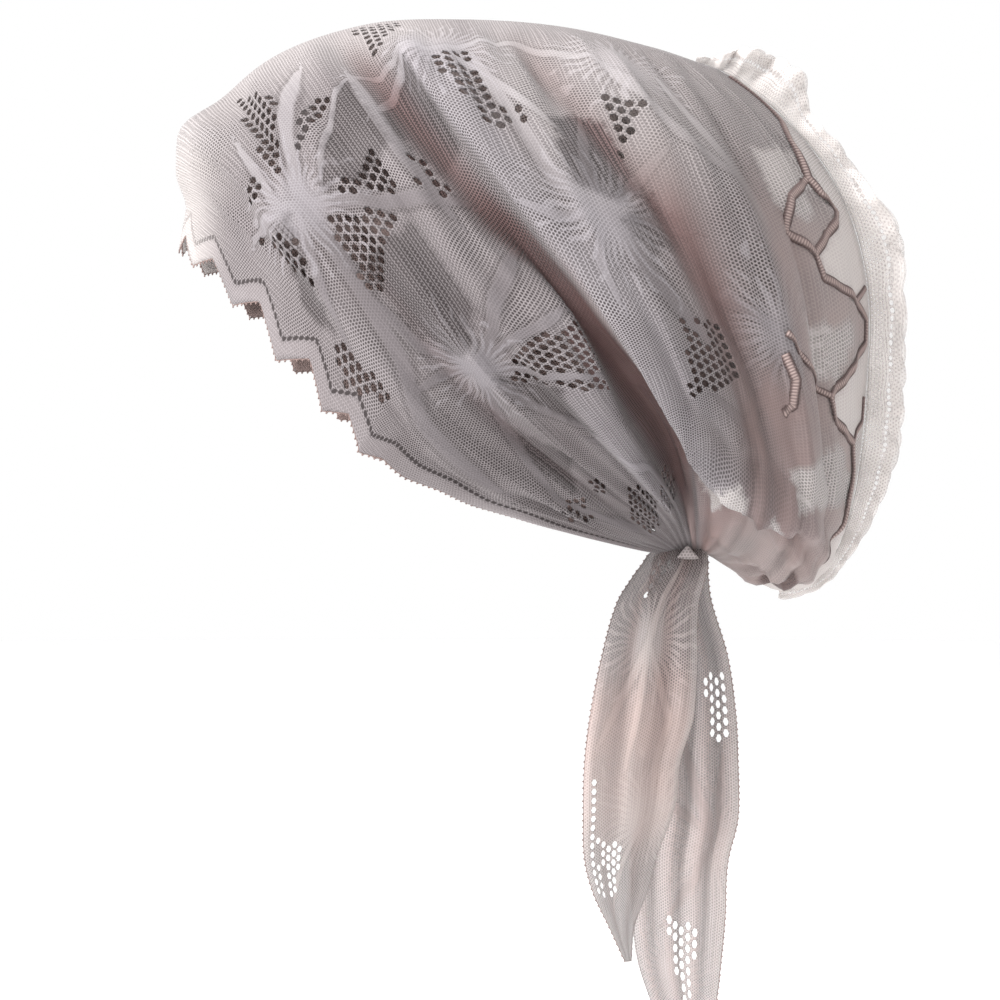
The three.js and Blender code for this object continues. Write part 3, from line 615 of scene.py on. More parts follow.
@dataclass
class Cloth:
    """A sheet under construction: vertices in millimetres, faces, fabric places and attributes."""

    places: list[Array] = field(default_factory=list)
    fabric: list[Array] = field(default_factory=list)
    faces: list[list[int]] = field(default_factory=list)
    notes: dict[str, list[Array]] = field(default_factory=dict)
    count: int = 0

    def add(self, places: Array, fabric: Array, **notes: Array) -> Array:
        """Adds vertices and returns their indices."""
        self.places.append(places)
        self.fabric.append(fabric)
        for name, values in notes.items():
            self.notes.setdefault(name, []).append(values)
        index = np.arange(self.count, self.count + len(places))
        self.count += len(places)
        return index

    def join(self, other: "Cloth") -> None:
        """Adds another sheet's vertices and faces."""
        self.places += other.places
        self.fabric += other.fabric
        self.faces += [[corner + self.count for corner in face] for face in other.faces]
        for key, values in other.notes.items():
            self.notes[key] += values
        self.count += other.count

    def cover(self, faces: Array) -> None:
        """Adds faces given as an array of vertex indices, one row a face."""
        self.faces.extend(faces.tolist())

    def mirror(self) -> None:
        """Turns the sheet into its mirror image in x."""
        self.places = [places * [-1, 1, 1] for places in self.places]
        self.faces = [face[::-1] for face in self.faces]

    def to_object(self, name: str, *finishes, thickness: float = 0.0, weld: float = 0.0) -> bpy.types.Object:
        """Makes the mesh object, in metres.

        Args:
            name: the piece's name.
            finishes: the finish of the outside and, where it differs, of the inside.
            thickness: how thick the sheet becomes, in millimetres, half to each side.
            weld: distance in millimetres within which vertices on the mid-line become one.

        Returns:
            The linked object, shaded smooth.
        """
        places = np.concatenate(self.places)
        fabric = np.concatenate(self.fabric)
        notes = {key: np.concatenate(values) for key, values in self.notes.items()}
        faces = self.faces
        mesh = bpy.data.meshes.new(name)
        mesh.from_pydata((places * MM).tolist(), [], faces)
        layer = mesh.uv_layers.new(name="Fabric")
        corners = np.empty(len(mesh.loops), np.int64)
        mesh.loops.foreach_get("vertex_index", corners)
        layer.uv.foreach_set("vector", (fabric[corners] / 100).astype(np.float32).ravel())
        for key, values in notes.items():
            attribute = mesh.attributes.new(key, "FLOAT", "POINT")
            attribute.data.foreach_set("value", values.astype(np.float32))
        mesh.polygons.foreach_set("use_smooth", np.ones(len(mesh.polygons), bool))
        if weld:
            sewn = bmesh.new()
            sewn.from_mesh(mesh)
            middle = [vertex for vertex in sewn.verts if abs(vertex.co.x) < 1e-7]
            bmesh.ops.remove_doubles(sewn, verts=middle, dist=weld * MM)
            sewn.to_mesh(mesh)
            sewn.free()
        mesh.validate()
        mesh.update()
        piece = bpy.data.objects.new(name, mesh)
        bpy.context.scene.collection.objects.link(piece)
        for finish in finishes:
            mesh.materials.append(finish.build())
        if thickness:
            modifier = piece.modifiers.new("Thickness", "SOLIDIFY")
            modifier.thickness = thickness * MM
            modifier.offset = 0.0
            modifier.material_offset = len(finishes) - 1
        return piece


@dataclass(frozen=True)
class Honeycomb:
    """A sheet of six-sided lace cells between two straight edges.

    Lines run along the first share; odd and even corners of a line are pushed apart so that the
    cells between two lines are hexagons, each row half a cell further than the last.
    """

    lines: int
    cells: int
    eyelet: float = 0.70

    def corners(self) -> tuple[Array, Array]:
        """Shares (along, across) of every corner, line by line."""
        line, step = np.meshgrid(np.arange(self.lines + 1), np.arange(2 * self.cells + 1), indexing="ij")
        push = np.where((line + step) % 2 == 0, 1 / 6, -1 / 6)
        push = np.where((line == 0) | (line == self.lines), 0, push)
        return (step / (2 * self.cells)).ravel(), ((line + push) / self.lines).ravel()

    def hexagons(self) -> Array:
        """Corner indices of each whole cell, as (n, 6), turning from along to across."""
        width = 2 * self.cells + 1
        rows = []
        for line in range(self.lines):
            start = np.arange(line % 2, 2 * self.cells - 1, 2)
            near = line * width + start
            far = near + width
            rows.append(np.stack([near, near + 1, near + 2, far + 2, far + 1, far], -1))
        return np.concatenate(rows)

    def end_cells(self) -> Array:
        """Corner indices of the half cells at the ends of odd rows, as (n, 4)."""
        width = 2 * self.cells + 1
        line = np.arange(1, self.lines, 2)
        near = np.concatenate([line * width, line * width + 2 * self.cells - 1])
        return np.stack([near, near + 1, near + width + 1, near + width], -1)


def inside_fields(fields: tuple, u: Array, v: Array) -> Array:
    """Whether each (u, v) lies in one of the polygons, by the even-odd rule."""
    found = np.zeros(len(u), bool)
    for corners in fields:
        odd = np.zeros(len(u), bool)
        for (u0, v0), (u1, v1) in zip(corners, corners[1:] + corners[:1]):
            spans = (v0 > v) != (v1 > v)
            with np.errstate(divide="ignore", invalid="ignore"):
                cross = u < (u1 - u0) * (v - v0) / (v1 - v0) + u0
            odd ^= spans & cross
        found |= odd
    return found


def full_notes(count: int, **values: Array | float) -> dict[str, Array]:
    """The notes that every lace reads: those given, and 0 for the rest."""
    names = ("relief", "sheer", "rim", "pale", "dark", "satin")
    return {name: np.broadcast_to(np.asarray(values.get(name, 0.0), float), count) for name in names}


def lace_cells(
    cloth: Cloth,
    comb: Honeycomb,
    surface: Callable[[Array, Array], tuple],
    is_eyelet: Callable[[Array, Array], Array],
) -> Array:
    """Covers a surface with lace cells and cuts the eyelets.

    Formula: a cell outside the fields is one hexagon; a cell inside them is a ring of six
    quadrilaterals between its corners and the same corners drawn in towards its middle.

    Args:
        cloth: where the cells go.
        comb: the cells.
        surface: places, fabric places and notes at (along, across).
        is_eyelet: whether a cell with its middle at (along, across) is an eyelet.

    Returns:
        Indices of the corners on line 0.
    """
    along, across = comb.corners()
    places, fabric, notes = surface(along, across)
    index = cloth.add(places, fabric, **notes)
    cells = comb.hexagons()
    middle = np.stack([along[cells].mean(1), across[cells].mean(1)])
    eyelet = is_eyelet(*middle)
    cloth.cover(index[cells[~eyelet]])
    cloth.cover(index[comb.end_cells()])
    rings = cells[eyelet]
    centre = middle[:, eyelet, None]
    inner = centre + (np.stack([along[rings], across[rings]]) - centre) * comb.eyelet
    places, fabric, notes = surface(*inner.reshape(2, -1))
    drawn = cloth.add(places, fabric, **notes).reshape(-1, 6)
    outer = index[rings]
    for k, following in enumerate(np.roll(np.arange(6), -1)):
        cloth.cover(np.stack([outer[:, k], outer[:, following], drawn[:, following], drawn[:, k]], -1))
    return index[: 2 * comb.cells + 1]


# Materials


class Nodes:
    """Short calls that add shader nodes to one material and link them."""

    def __init__(self, name: str) -> None:
        """Makes an empty node material called name."""
        self.material = bpy.data.materials.new(name)
        self.material.use_nodes = True
        self.tree = self.material.node_tree
        self.tree.nodes.clear()

    def add(self, kind: str, inputs: dict | None = None, **settings) -> bpy.types.Node:
        """Adds a node, sets its properties and fills its inputs with values or sockets."""
        node = self.tree.nodes.new(kind)
        for key, value in settings.items():
            setattr(node, key, value)
        for key, value in (inputs or {}).items():
            if isinstance(value, bpy.types.NodeSocket):
                self.tree.links.new(value, node.inputs[key])
            else:
                node.inputs[key].default_value = value
        return node

    def math(self, operation: str, *values) -> bpy.types.NodeSocket:
        """Result of a Math node."""
        return self.add("ShaderNodeMath", dict(enumerate(values)), operation=operation).outputs[0]

    def times(self, first, second) -> bpy.types.NodeSocket:
        """Product of two values."""
        return self.math("MULTIPLY", first, second)

    def line(self, value, slope, start) -> bpy.types.NodeSocket:
        """Slope times a value, plus start."""
        return self.math("MULTIPLY_ADD", value, slope, start)

    def vector(self, operation: str, *values) -> bpy.types.NodeSocket:
        """Vector result of a Vector Math node."""
        return self.add("ShaderNodeVectorMath", dict(enumerate(values)), operation=operation).outputs[0]

    def length(self, vector) -> bpy.types.NodeSocket:
        """Length of a vector."""
        return self.add("ShaderNodeVectorMath", {0: vector}, operation="LENGTH").outputs["Value"]

    def parts(self, vector) -> bpy.types.bpy_prop_collection:
        """The x, y and z of a vector."""
        return self.add("ShaderNodeSeparateXYZ", {0: vector}).outputs

    def note(self, name: str) -> bpy.types.NodeSocket:
        """Value of one of the mesh's attributes."""
        return self.add("ShaderNodeAttribute", attribute_name=name).outputs["Fac"]

    def fabric(self) -> bpy.types.NodeSocket:
        """Place on the piece's own Fabric map, in decimetres."""
        return self.add("ShaderNodeUVMap", uv_map="Fabric").outputs[0]

    def bump(self, height, strength: float, distance: float) -> bpy.types.NodeSocket:
        """Normal for a height map."""
        inputs = {"Strength": strength, "Distance": distance, "Height": height}
        return self.add("ShaderNodeBump", inputs).outputs[0]

    def surface(self, tone, **inputs) -> bpy.types.Material:
        """Closes the material with one Principled shader and its inputs, named with underscores."""
        values = {"Base Color": tone}
        values.update((key.replace("_", " "), value) for key, value in inputs.items())
        shader = self.add("ShaderNodeBsdfPrincipled", values)
        self.add("ShaderNodeOutputMaterial", {"Surface": shader.outputs[0]})
        return self.material

    def fade(self, value, low: float, high: float) -> bpy.types.NodeSocket:
        """Smooth step of a value from 0 at low to 1 at high."""
        inputs = {"Value": value, "From Min": low, "From Max": high}
        return self.add("ShaderNodeMapRange", inputs, interpolation_type="SMOOTHSTEP").outputs[0]

    def mix(self, share, first, second) -> bpy.types.NodeSocket:
        """Colour between first and second."""
        node = self.add("ShaderNodeMix", data_type="RGBA")
        for socket, value in ((node.inputs[0], share), (node.inputs[6], first), (node.inputs[7], second)):
            if isinstance(value, bpy.types.NodeSocket):
                self.tree.links.new(value, socket)
            else:
                socket.default_value = value
        return node.outputs[2]

    def noise(self, place, scale: float, detail: float = 2.0) -> bpy.types.NodeSocket:
        """Noise value at a place."""
        inputs = {"Vector": place, "Scale": scale, "Detail": detail}
        return self.add("ShaderNodeTexNoise", inputs).outputs["Fac"]

    def dots(self, place, pitch: float, radius: float, soft: float) -> bpy.types.NodeSocket:
        """1 inside the dots of a close-packed lattice, which is two rectangular ones."""
        half = (pitch / 2, pitch * math.sqrt(3) / 2, 1.0)
        low = (-half[0], -half[1], -1.0)
        distances = []
        for shift in ((0.0, 0.0, 0.0), (half[0], half[1], 0.0)):
            distances.append(self.length(self.vector("WRAP", self.vector("ADD", place, shift), half, low)))
        nearest = self.math("MINIMUM", *distances)
        return self.fade(nearest, radius + soft, radius - soft)


def colour(red: float, green: float, blue: float) -> tuple[float, float, float, float]:
    """A linear colour from display values of 0 to 255."""
    return tuple(((c / 255 + 0.055) / 1.055) ** 2.4 for c in (red, green, blue)) + (1.0,)


@dataclass(frozen=True)
class LaceFinish:
    """A patterned lace: net ground, ribs, dense bands, feathery bursts and a dotted line.

    Lengths and the (x, y) of the bursts are millimetres of cloth. Each share says how far a
    colour covers the tone under it. The holes and the folds' valleys are painted shade, and the
    ridges carry a painted highlight.
    """

    name: str
    yarn: tuple = colour(153, 147, 148)
    ground: tuple = colour(121, 113, 114)
    # Colour of the painted shade in the holes and valleys, and of the dark ribbed fields and the dark lines
    # beside the bands
    shade: tuple = colour(38, 31, 31)
    # Painted shade for the folds' valleys
    valley_shade: tuple = colour(103, 78, 76)
    woven: tuple = colour(96, 90, 92)
    crown_woven: tuple = colour(134, 129, 131)
    # Colour of the feathers, and also of the painted highlight on the ridges
    feather_and_highlight: tuple = colour(148, 143, 147)
    pale: tuple = colour(204, 197, 194)
    satin: tuple = colour(128, 108, 105)
    pitch: float = 1.1
    hole: float = 0.37
    hole_softness: float = 0.14
    rib_pitch: float = 1.45
    bursts: tuple = ()
    banded: bool = True
    feathers: int = 29
    feather_length: float = 50.0
    rim_dots: float = 7.6
    rim_dot_pitch: float = 2.2
    band_share: float = 0.7
    line_share: float = 0.25
    feather_share: float = 0.45
    ridge_highlight_share: float = 0.55
    dark_share: float = 0.38
    valley_shade_share: float = 0.9
    pale_share: float = 0.8
    hole_shade_share: float = 0.92

    def feathering(self, n: Nodes, place) -> bpy.types.NodeSocket:
        """Strength of the feathers round the nearest burst's middle.

        Formula: the shortest of the offsets from all middles gives a reach and an angle; the
        distance to the nearest ray's middle is the reach times the size of the sine of half
        the count times the angle, over half the count. Noise sets each feather's length.
        """
        best = reach = None
        for x, y in self.bursts:
            offset = n.vector("SUBTRACT", place, (x, y, 0.0))
            length = n.length(offset)
            if best is None:
                best, reach = offset, length
            else:
                best = n.mix(n.math("LESS_THAN", length, reach), best, offset)
                reach = n.math("MINIMUM", reach, length)
        x, y, _ = n.parts(best)
        angle = n.line(n.noise(place, 0.09, 1.0), 0.5, n.math("ARCTAN2", y, x))
        swing = n.math("ABSOLUTE", n.math("SINE", n.times(angle, self.feathers / 2)))
        away = n.times(n.times(swing, reach), 2 / self.feathers)
        length = n.line(n.noise(place, 0.16, 2.0), self.feather_length, -2.0)
        return n.times(n.fade(away, 0.85, 0.35), n.fade(n.math("SUBTRACT", reach, length), 3.0, -6.0))

    def bands(self, n: Nodes) -> tuple:
        """Strength of the dense bands and of the dark lines along their edges."""
        solid = line = None
        for group in range(BAND_GROUPS):
            size = n.math("ABSOLUTE", n.note(f"band{group}"))
            close = n.fade(n.note(f"near{group}"), 0.15, 0.4)
            inner = n.times(n.fade(size, 1.3, 0.7), close)
            outer = n.times(n.fade(size, 2.0, 1.5), close)
            solid = inner if solid is None else n.math("MAXIMUM", solid, inner)
            line = outer if line is None else n.math("MAXIMUM", line, outer)
        return solid, n.math("SUBTRACT", line, solid)

    def holes(self, n: Nodes, place, closed) -> bpy.types.NodeSocket:
        """Strength of the holes, which are painted in the shade colour as painted shade seen through the
        lace: net, rib lines and the dotted line along the rim.
        """
        net = n.dots(place, self.pitch, self.hole, self.hole_softness)
        openness = n.fade(n.noise(place, 0.05, 1.0), 0.35, 0.62)
        x, y, _ = n.parts(place)
        line = n.math("ABSOLUTE", n.math("SINE", n.times(y, math.pi / self.rib_pitch)))
        ribbed = n.math("MAXIMUM", n.note("dark"), n.line(openness, -0.6, 0.6))
        rib = n.times(n.fade(line, 0.6, 0.2), ribbed)
        open_net = n.times(net, n.line(openness, 0.3, 0.7))
        hole = n.times(n.math("MAXIMUM", open_net, rib), closed)
        if self.rim_dots:
            rim = n.note("rim")
            row = n.math("SUBTRACT", rim, self.rim_dots)
            bead = n.math("WRAP", x, self.rim_dot_pitch / 2, -self.rim_dot_pitch / 2)
            away = n.math("SQRT", n.math("ADD", n.times(row, row), n.times(bead, bead)))
            dotted = n.fade(away, 1.1, 0.75)
            hole = n.times(hole, n.line(n.fade(rim, 5.0, 8.0), 0.5, 0.5))
            hole = n.math("MAXIMUM", hole, dotted)
        return hole

    def tone(self, n: Nodes, place, fine, marks: tuple) -> bpy.types.NodeSocket:
        """Colour of the yarn, under the painted holes.

        Args:
            n: the material.
            place: place on the cloth in millimetres.
            fine: fine noise.
            marks: strength of the bands, of their edge lines, of the feathers and of the satin.

        Returns:
            The colour, mixed layer over layer.
        """
        band, line, feather, satin = marks
        light = n.line(n.noise(place, 0.04, 3.0), 0.75, n.line(fine, 0.5, -0.35))
        woven = n.mix(n.fade(n.parts(place)[0], 62.0, 105.0), self.crown_woven, self.woven)
        relief = n.note("relief")
        tone = n.mix(light, self.ground, self.yarn)
        layers = (
            (n.times(line, self.line_share), self.shade),
            (n.times(band, self.band_share), woven),
            (n.times(feather, self.feather_share), self.feather_and_highlight),
            # Lighter on the folds' ridges: painted highlight
            (n.times(n.fade(relief, 3.0, 9.0), self.ridge_highlight_share), self.feather_and_highlight),
            (satin, self.satin),
            # The dark note: dark ribbed fields of the lace, painted shade in the pouch's deep valley and
            # painted shadow at its tip
            (n.times(n.note("dark"), self.dark_share), self.shade),
            # Darker in the folds' valleys: painted shade
            (n.times(n.fade(relief, 0.5, -8.0), self.valley_shade_share), self.valley_shade),
            (n.times(n.note("pale"), self.pale_share), self.pale),
        )
        for share, layer in layers:
            tone = n.mix(share, tone, layer)
        return tone

    def build(self) -> bpy.types.Material:
        """Makes the node material, on the piece's own Fabric map."""
        n = Nodes(self.name)
        place = n.vector("MULTIPLY", n.fabric(), (100.0, 100.0, 0.0))
        wander = n.add("ShaderNodeTexNoise", {"Vector": place, "Scale": 0.03, "Detail": 1.0}).outputs["Color"]
        wander = n.vector("MULTIPLY", n.vector("SUBTRACT", wander, (0.5, 0.5, 0.5)), (3.0, 3.0, 0.0))
        place = n.vector("ADD", place, wander)
        feather = self.feathering(n, place) if self.bursts else 0.0
        band, line = self.bands(n) if self.banded else (0.0, 0.0)
        satin = n.times(n.note("satin"), n.line(n.noise(place, 0.05, 2.0), 1.2, 0.25))
        satin = n.math("MINIMUM", satin, 1.0)
        yarns = n.math("MAXIMUM", band, n.times(feather, 0.75))
        yarns = n.times(yarns, n.line(satin, -0.7, 1.0))
        hole = self.holes(n, place, n.times(n.line(yarns, -0.62, 1.0), n.line(satin, -0.85, 1.0)))
        fine = n.noise(place, 1.3, 3.0)
        tone = self.tone(n, place, fine, (band, line, feather, satin))
        # The holes are painted towards the shade colour, as painted shade seen through the net, less where
        # the lace is pale
        painted = n.times(hole, n.line(n.note("pale"), -0.6, self.hole_shade_share))
        veil = n.times(n.note("sheer"), n.line(hole, 0.5, 0.4))
        lift = n.math("SUBTRACT", n.line(yarns, 0.6, n.times(fine, 0.5)), hole)
        return n.surface(
            n.mix(painted, tone, self.shade), Normal=n.bump(lift, 0.6, 0.0004),
            Alpha=n.math("SUBTRACT", 1.0, veil), Roughness=n.line(satin, -0.4, 0.85),
            Sheen_Weight=0.1, Sheen_Roughness=0.4, Specular_IOR_Level=0.3,
        )


@dataclass(frozen=True)
class YarnFinish:
    """A plain twisted yarn."""

    name: str
    light: tuple = colour(146, 124, 118)
    dark: tuple = colour(96, 80, 78)
    grain: float = 900.0

    def build(self) -> bpy.types.Material:
        """Makes the material, coloured by noise on the object's own place."""
        n = Nodes(self.name)
        fine = n.noise(n.add("ShaderNodeTexCoord").outputs["Object"], self.grain, 2.0)
        return n.surface(n.mix(fine, self.dark, self.light), Normal=n.bump(fine, 0.5, 0.0003), Roughness=0.85)


@dataclass(frozen=True)
class BraidFinish:
    """A flat braid with ridges across it: a painted highlight along its top and the crests of its ridges, and
    painted shade down its sides.
    """

    name: str
    light: tuple = colour(168, 148, 143)
    dark: tuple = colour(92, 75, 73)
    ridge: float = 1.1

    def build(self) -> bpy.types.Material:
        """Makes the material, on the run along the braid and the angle round it."""
        n = Nodes(self.name)
        run, angle, _ = n.parts(n.fabric())
        wave = n.math("SINE", n.times(run, 100 * 2 * math.pi / self.ridge))
        side = n.math("ABSOLUTE", n.math("COSINE", n.times(angle, 100.0)))
        # Painted highlight along the braid's top and the crests of its ridges, painted shade down its sides
        middle = n.times(n.fade(side, 0.9, 0.2), n.line(wave, 0.35, 0.65))
        tone = n.mix(middle, self.dark, self.light)
        return n.surface(tone, Normal=n.bump(wave, 0.7, 0.0004), Alpha=0.92, Roughness=0.85)


# Pieces


def sweep(cloth: Cloth, path: Array, normals: Array, width: float, height: float, sides: int = 4) -> None:
    """Sweeps an ellipse along a path.

    Args:
        cloth: where the tube goes.
        path: places along the path.
        normals: a direction off the surface at each place.
        width: half the tube's width along the surface, in millimetres.
        height: half its height off the surface.
        sides: corners of the cross-section.
    """
    along = unit(np.gradient(path, axis=0))
    across = unit(np.cross(normals, along))
    off = np.cross(along, across)
    angle = np.arange(sides) * 2 * math.pi / sides
    ring = (
        path[:, None]
        + across[:, None] * (width * np.cos(angle))[:, None]
        + off[:, None] * (height * np.sin(angle))[:, None]
    )
    run = np.concatenate([[0], np.cumsum(np.linalg.norm(np.diff(path, axis=0), axis=1))])
    fabric = np.column_stack([np.repeat(run, sides), np.tile(angle, len(path))])
    index = cloth.add(ring.reshape(-1, 3), fabric).reshape(len(path), sides)
    cloth.cover(grid_faces(np.column_stack([index, index[:, 0]])))
    cloth.faces.append(index[0].tolist())
    cloth.faces.append(index[-1, ::-1].tolist())


def shares(steps: int, rows: int) -> tuple[Array, Array]:
    """Shares of both ways of a grid, from 0 to 1, one row after the other."""
    both = np.meshgrid(np.linspace(0, 1, steps + 1), np.linspace(0, 1, rows + 1), indexing="ij")
    return both[0].ravel(), both[1].ravel()


def even(path: Array, step: float) -> tuple[Array, Array]:
    """Even steps along a polyline: the lengths at the new places, and their rows as fractions."""
    run = np.concatenate([[0], np.cumsum(np.linalg.norm(np.diff(path, axis=0), axis=1))])
    at = np.linspace(0, run[-1], max(int(run[-1] / step), 2))
    return at, np.interp(at, run, np.arange(len(path)))


def along_rows(values: Array, rows: Array) -> Array:
    """Values between the rows of an array, column by column."""
    return np.stack([np.interp(rows, np.arange(len(values)), column) for column in values.T], -1)


@dataclass(frozen=True)
class PicotEdge:
    """A fine yarn that runs along an edge in small loops."""

    name: str
    finish: YarnFinish
    pitch: float = 2.3
    reach: float = 0.9
    radius: float = 0.26
    steps: int = 8

    def build(self, edge: Array, outward: Array, normals: Array) -> bpy.types.Object:
        """Makes the piece.

        Formula: the yarn leaves the edge by half the reach times one minus the cosine of its
        run, and swings back along it by a sine, so that each wave closes into a loop.

        Args:
            edge: places along the edge.
            outward: directions that point off the edge, in the sheet.
            normals: directions off the sheet.

        Returns:
            The linked object.
        """
        at, rows = even(edge, self.pitch / self.steps)
        phase = 2 * math.pi * at / self.pitch
        swing = np.clip(at + 0.55 * self.pitch * np.sin(phase) * 0.5, 0, at[-1])
        rows = np.interp(swing, at, rows)
        out = self.reach / 2 * (1 - np.cos(phase))
        path = along_rows(edge, rows) + unit(along_rows(outward, rows)) * out[:, None]
        cloth = Cloth()
        sweep(cloth, path, along_rows(normals, rows), self.radius, self.radius)
        return cloth.to_object(self.name, self.finish)


@dataclass
class CapLace:
    """The lace of the cap, both halves."""

    form: CapForm
    lines: int = 79
    cells: int = 78
    thickness: float = 0.5
    margin_rows: int = 4
    band_clearance: float = 0.9
    right_shift: tuple[float, float] = (0.05, -0.075)
    right_front: float = 0.16
    valley_v: float = 0.715
    valley_width_v: float = 0.035
    recess_v: float = 0.485
    patch_pale: float = 0.75

    def surface(self, along: Array, across: Array) -> tuple:
        """Places, fabric places and notes of the left half."""
        place = self.form.place(along, across)
        place[(along == 0) | (across == 1), 0] = 0
        return place, *self.notes(along, across)

    def notes(self, along: Array, across: Array) -> tuple[Array, dict[str, Array]]:
        """Fabric places and notes at (along, across); across is below 0 on the margin."""
        fabric = np.column_stack([along, across]) * self.form.scale
        height, _, _ = self.form.relief(along, np.maximum(across, 0))
        seam = np.interp(along, *np.array(SEAM_ZIGZAG).T, left=1.02)
        patch = inside_fields(NET_PATCHES, along, across).astype(float)
        dark = inside_fields(DARK_FIELDS, along, across).astype(float)
        # A band along the pouch's deep fold valley, given painted shade through the dark note
        shaded_valley = np.exp(-(((across - self.valley_v) / self.valley_width_v) ** 2)) * rise(0.26, 0.40, along)
        recess = rise(0.05, 0.02, np.abs(across - self.recess_v)) * rise(0.40, 0.50, along)
        satin = np.max([zones_at(SATIN_ZONES, along, across), shaded_valley, 0.8 * recess], axis=0)
        pale = np.max([
            zones_at(PALE_ZONES, along, across), rise(-0.012, 0.012, across - seam), self.patch_pale * patch,
        ], axis=0)
        notes = full_notes(
            len(along),
            # Fold height, from which the lace takes painted shade in valleys and a painted highlight on
            # ridges
            relief=height,
            sheer=zones_at(SHEER_ZONES, along, across),
            rim=self.form.scallop(along) + fabric[:, 1],
            pale=pale * (1 - dark),
            # The dark ribbed fields, and painted shade along the deep valley
            dark=np.maximum(dark, 0.9 * shaded_valley),
            satin=satin * (1 - patch),
        )
        return fabric, notes | band_notes(CAP_BANDS, self.form.scale, fabric)

    def is_eyelet(self, half: Half, along: Array, across: Array) -> Array:
        """Which cells of a half are eyelets: none on a band, and elsewhere on the right half."""
        here = inside_fields(EYELET_FIELDS, along, across)
        _, notes = self.notes(along, across)
        bands = np.abs([notes[f"band{group}"] for group in range(BAND_GROUPS)])
        clear = bands.min(axis=0) > self.band_clearance
        if half is Half.LEFT:
            return here & clear
        moved = inside_fields(EYELET_FIELDS, along - self.right_shift[0], across - self.right_shift[1])
        for shift in (-0.02, 0.0, 0.02):
            moved &= ~inside_fields(EYELET_FIELDS, along, across + shift)
        return moved & clear & (across > self.right_front)

    def half_cloth(self, half: Half) -> Cloth:
        """The lace of one half with its scalloped margin, worked out on the left."""
        cloth = Cloth()
        comb = Honeycomb(self.lines, self.cells)
        edge = lace_cells(cloth, comb, self.surface, lambda u, v: self.is_eyelet(half, u, v))
        along = np.arange(2 * self.cells + 1) / (2 * self.cells)
        depth = self.form.scallop(along)
        near = edge
        for row in range(1, self.margin_rows + 1):
            out = depth * row / self.margin_rows
            fabric, notes = self.notes(along, -out / self.form.column_length)
            far = cloth.add(self.form.margin(along, out), fabric, **notes)
            cloth.cover(grid_faces(np.column_stack([far, near])))
            near = far
        return cloth

    def build(self) -> bpy.types.Object:
        """Makes the piece.

        Returns:
            The cap's lace, sewn along the mid-line, with its scalloped margin.
        """
        halves = [self.half_cloth(half) for half in Half]
        halves[1].mirror()
        cloth = halves[0]
        cloth.join(halves[1])
        bursts = tuple(map(tuple, (np.array(STARBURSTS) * self.form.scale).tolist()))
        outside = LaceFinish("lace_outside", bursts=bursts)
        inside = LaceFinish(
            "lace_inside", yarn=colour(150, 133, 129), ground=colour(122, 103, 99),
            woven=colour(136, 118, 114), feather_and_highlight=colour(158, 141, 137), bursts=bursts,
        )
        return cloth.to_object("cap_lace", outside, inside, thickness=self.thickness, weld=0.01)


@dataclass(frozen=True)
class CapTrim:
    """The trims of the cap: the looped front edge and the zigzag braid beside the seam."""

    form: CapForm
    edge_end: float = 0.965
    samples: int = 2400
    braid_half_width: float = 1.9
    braid_half_height: float = 0.55
    braid_lift: float = 0.45
    braid_step: float = 0.7
    bar_share: float = 0.7

    def edge(self) -> bpy.types.Object:
        """Makes the yarn loops along the whole scalloped front edge."""
        u = np.linspace(self.edge_end, 0, self.samples)
        _, normals, _, along_v = self.form.frame(u, np.zeros_like(u))
        line = self.form.margin(u, self.form.scallop(u))
        both = [np.concatenate([part, (part * [-1, 1, 1])[-2::-1]]) for part in (line, -along_v, normals)]
        return PicotEdge("edge_loops", YarnFinish("edge_yarn")).build(*both)

    def braid(self, half: Half) -> bpy.types.Object:
        """Makes the zigzag braid and its bars on one half."""
        cloth = Cloth()
        for corners in (SEAM_ZIGZAG, *SEAM_BARS):
            corners = np.array(corners)
            _, rows = even(corners * self.form.scale, self.braid_step)
            u, v = along_rows(corners, rows).T
            place, normals, _, _ = self.form.frame(u, v)
            flip = [half.value, 1, 1]
            width = self.braid_half_width * (1.0 if len(corners) > 3 else self.bar_share)
            lifted = (place + normals * self.braid_lift) * flip
            turned = (normals * flip)[:: half.value]
            sweep(cloth, lifted[:: half.value], turned, width, self.braid_half_height, 6)
        return cloth.to_object("seam_braid_" + half.side, BraidFinish("braid_" + half.side))


@dataclass(frozen=True)
class TieRow:
    """One row of a tie, in millimetres; turn is how far the front edge stands out per width."""

    z: float
    front: float
    back: float
    out: float
    pleat: float
    turn: float


TIE_LEFT_ROWS = (
    TieRow(-106.2, 72.5, 89.5, 8.2, 0.5, 0.00),
    TieRow(-110.0, 69.0, 90.2, 10.0, 0.6, 0.00),
    TieRow(-113.0, 67.0, 90.5, 11.6, 0.7, 0.00),
    TieRow(-117.0, 64.0, 89.5, 12.0, 0.8, 0.00),
    TieRow(-126.7, 58.0, 87.0, 13.6, 1.4, 0.10),
    TieRow(-146.5, 52.2, 86.4, 17.0, 2.4, 0.32),
    TieRow(-167.8, 47.9, 85.3, 19.5, 3.0, 0.50),
    TieRow(-183.6, 46.1, 80.5, 20.5, 3.0, 0.60),
    TieRow(-199.4, 45.7, 78.8, 20.8, 2.6, 0.66),
    TieRow(-216.4, 46.1, 72.4, 20.6, 2.0, 0.70),
    TieRow(-229.0, 49.3, 69.0, 20.2, 1.4, 0.70),
    TieRow(-241.6, 55.1, 64.0, 20.0, 0.7, 0.70),
    TieRow(-253.8, 60.6, 62.8, 20.0, 0.1, 0.70),
)
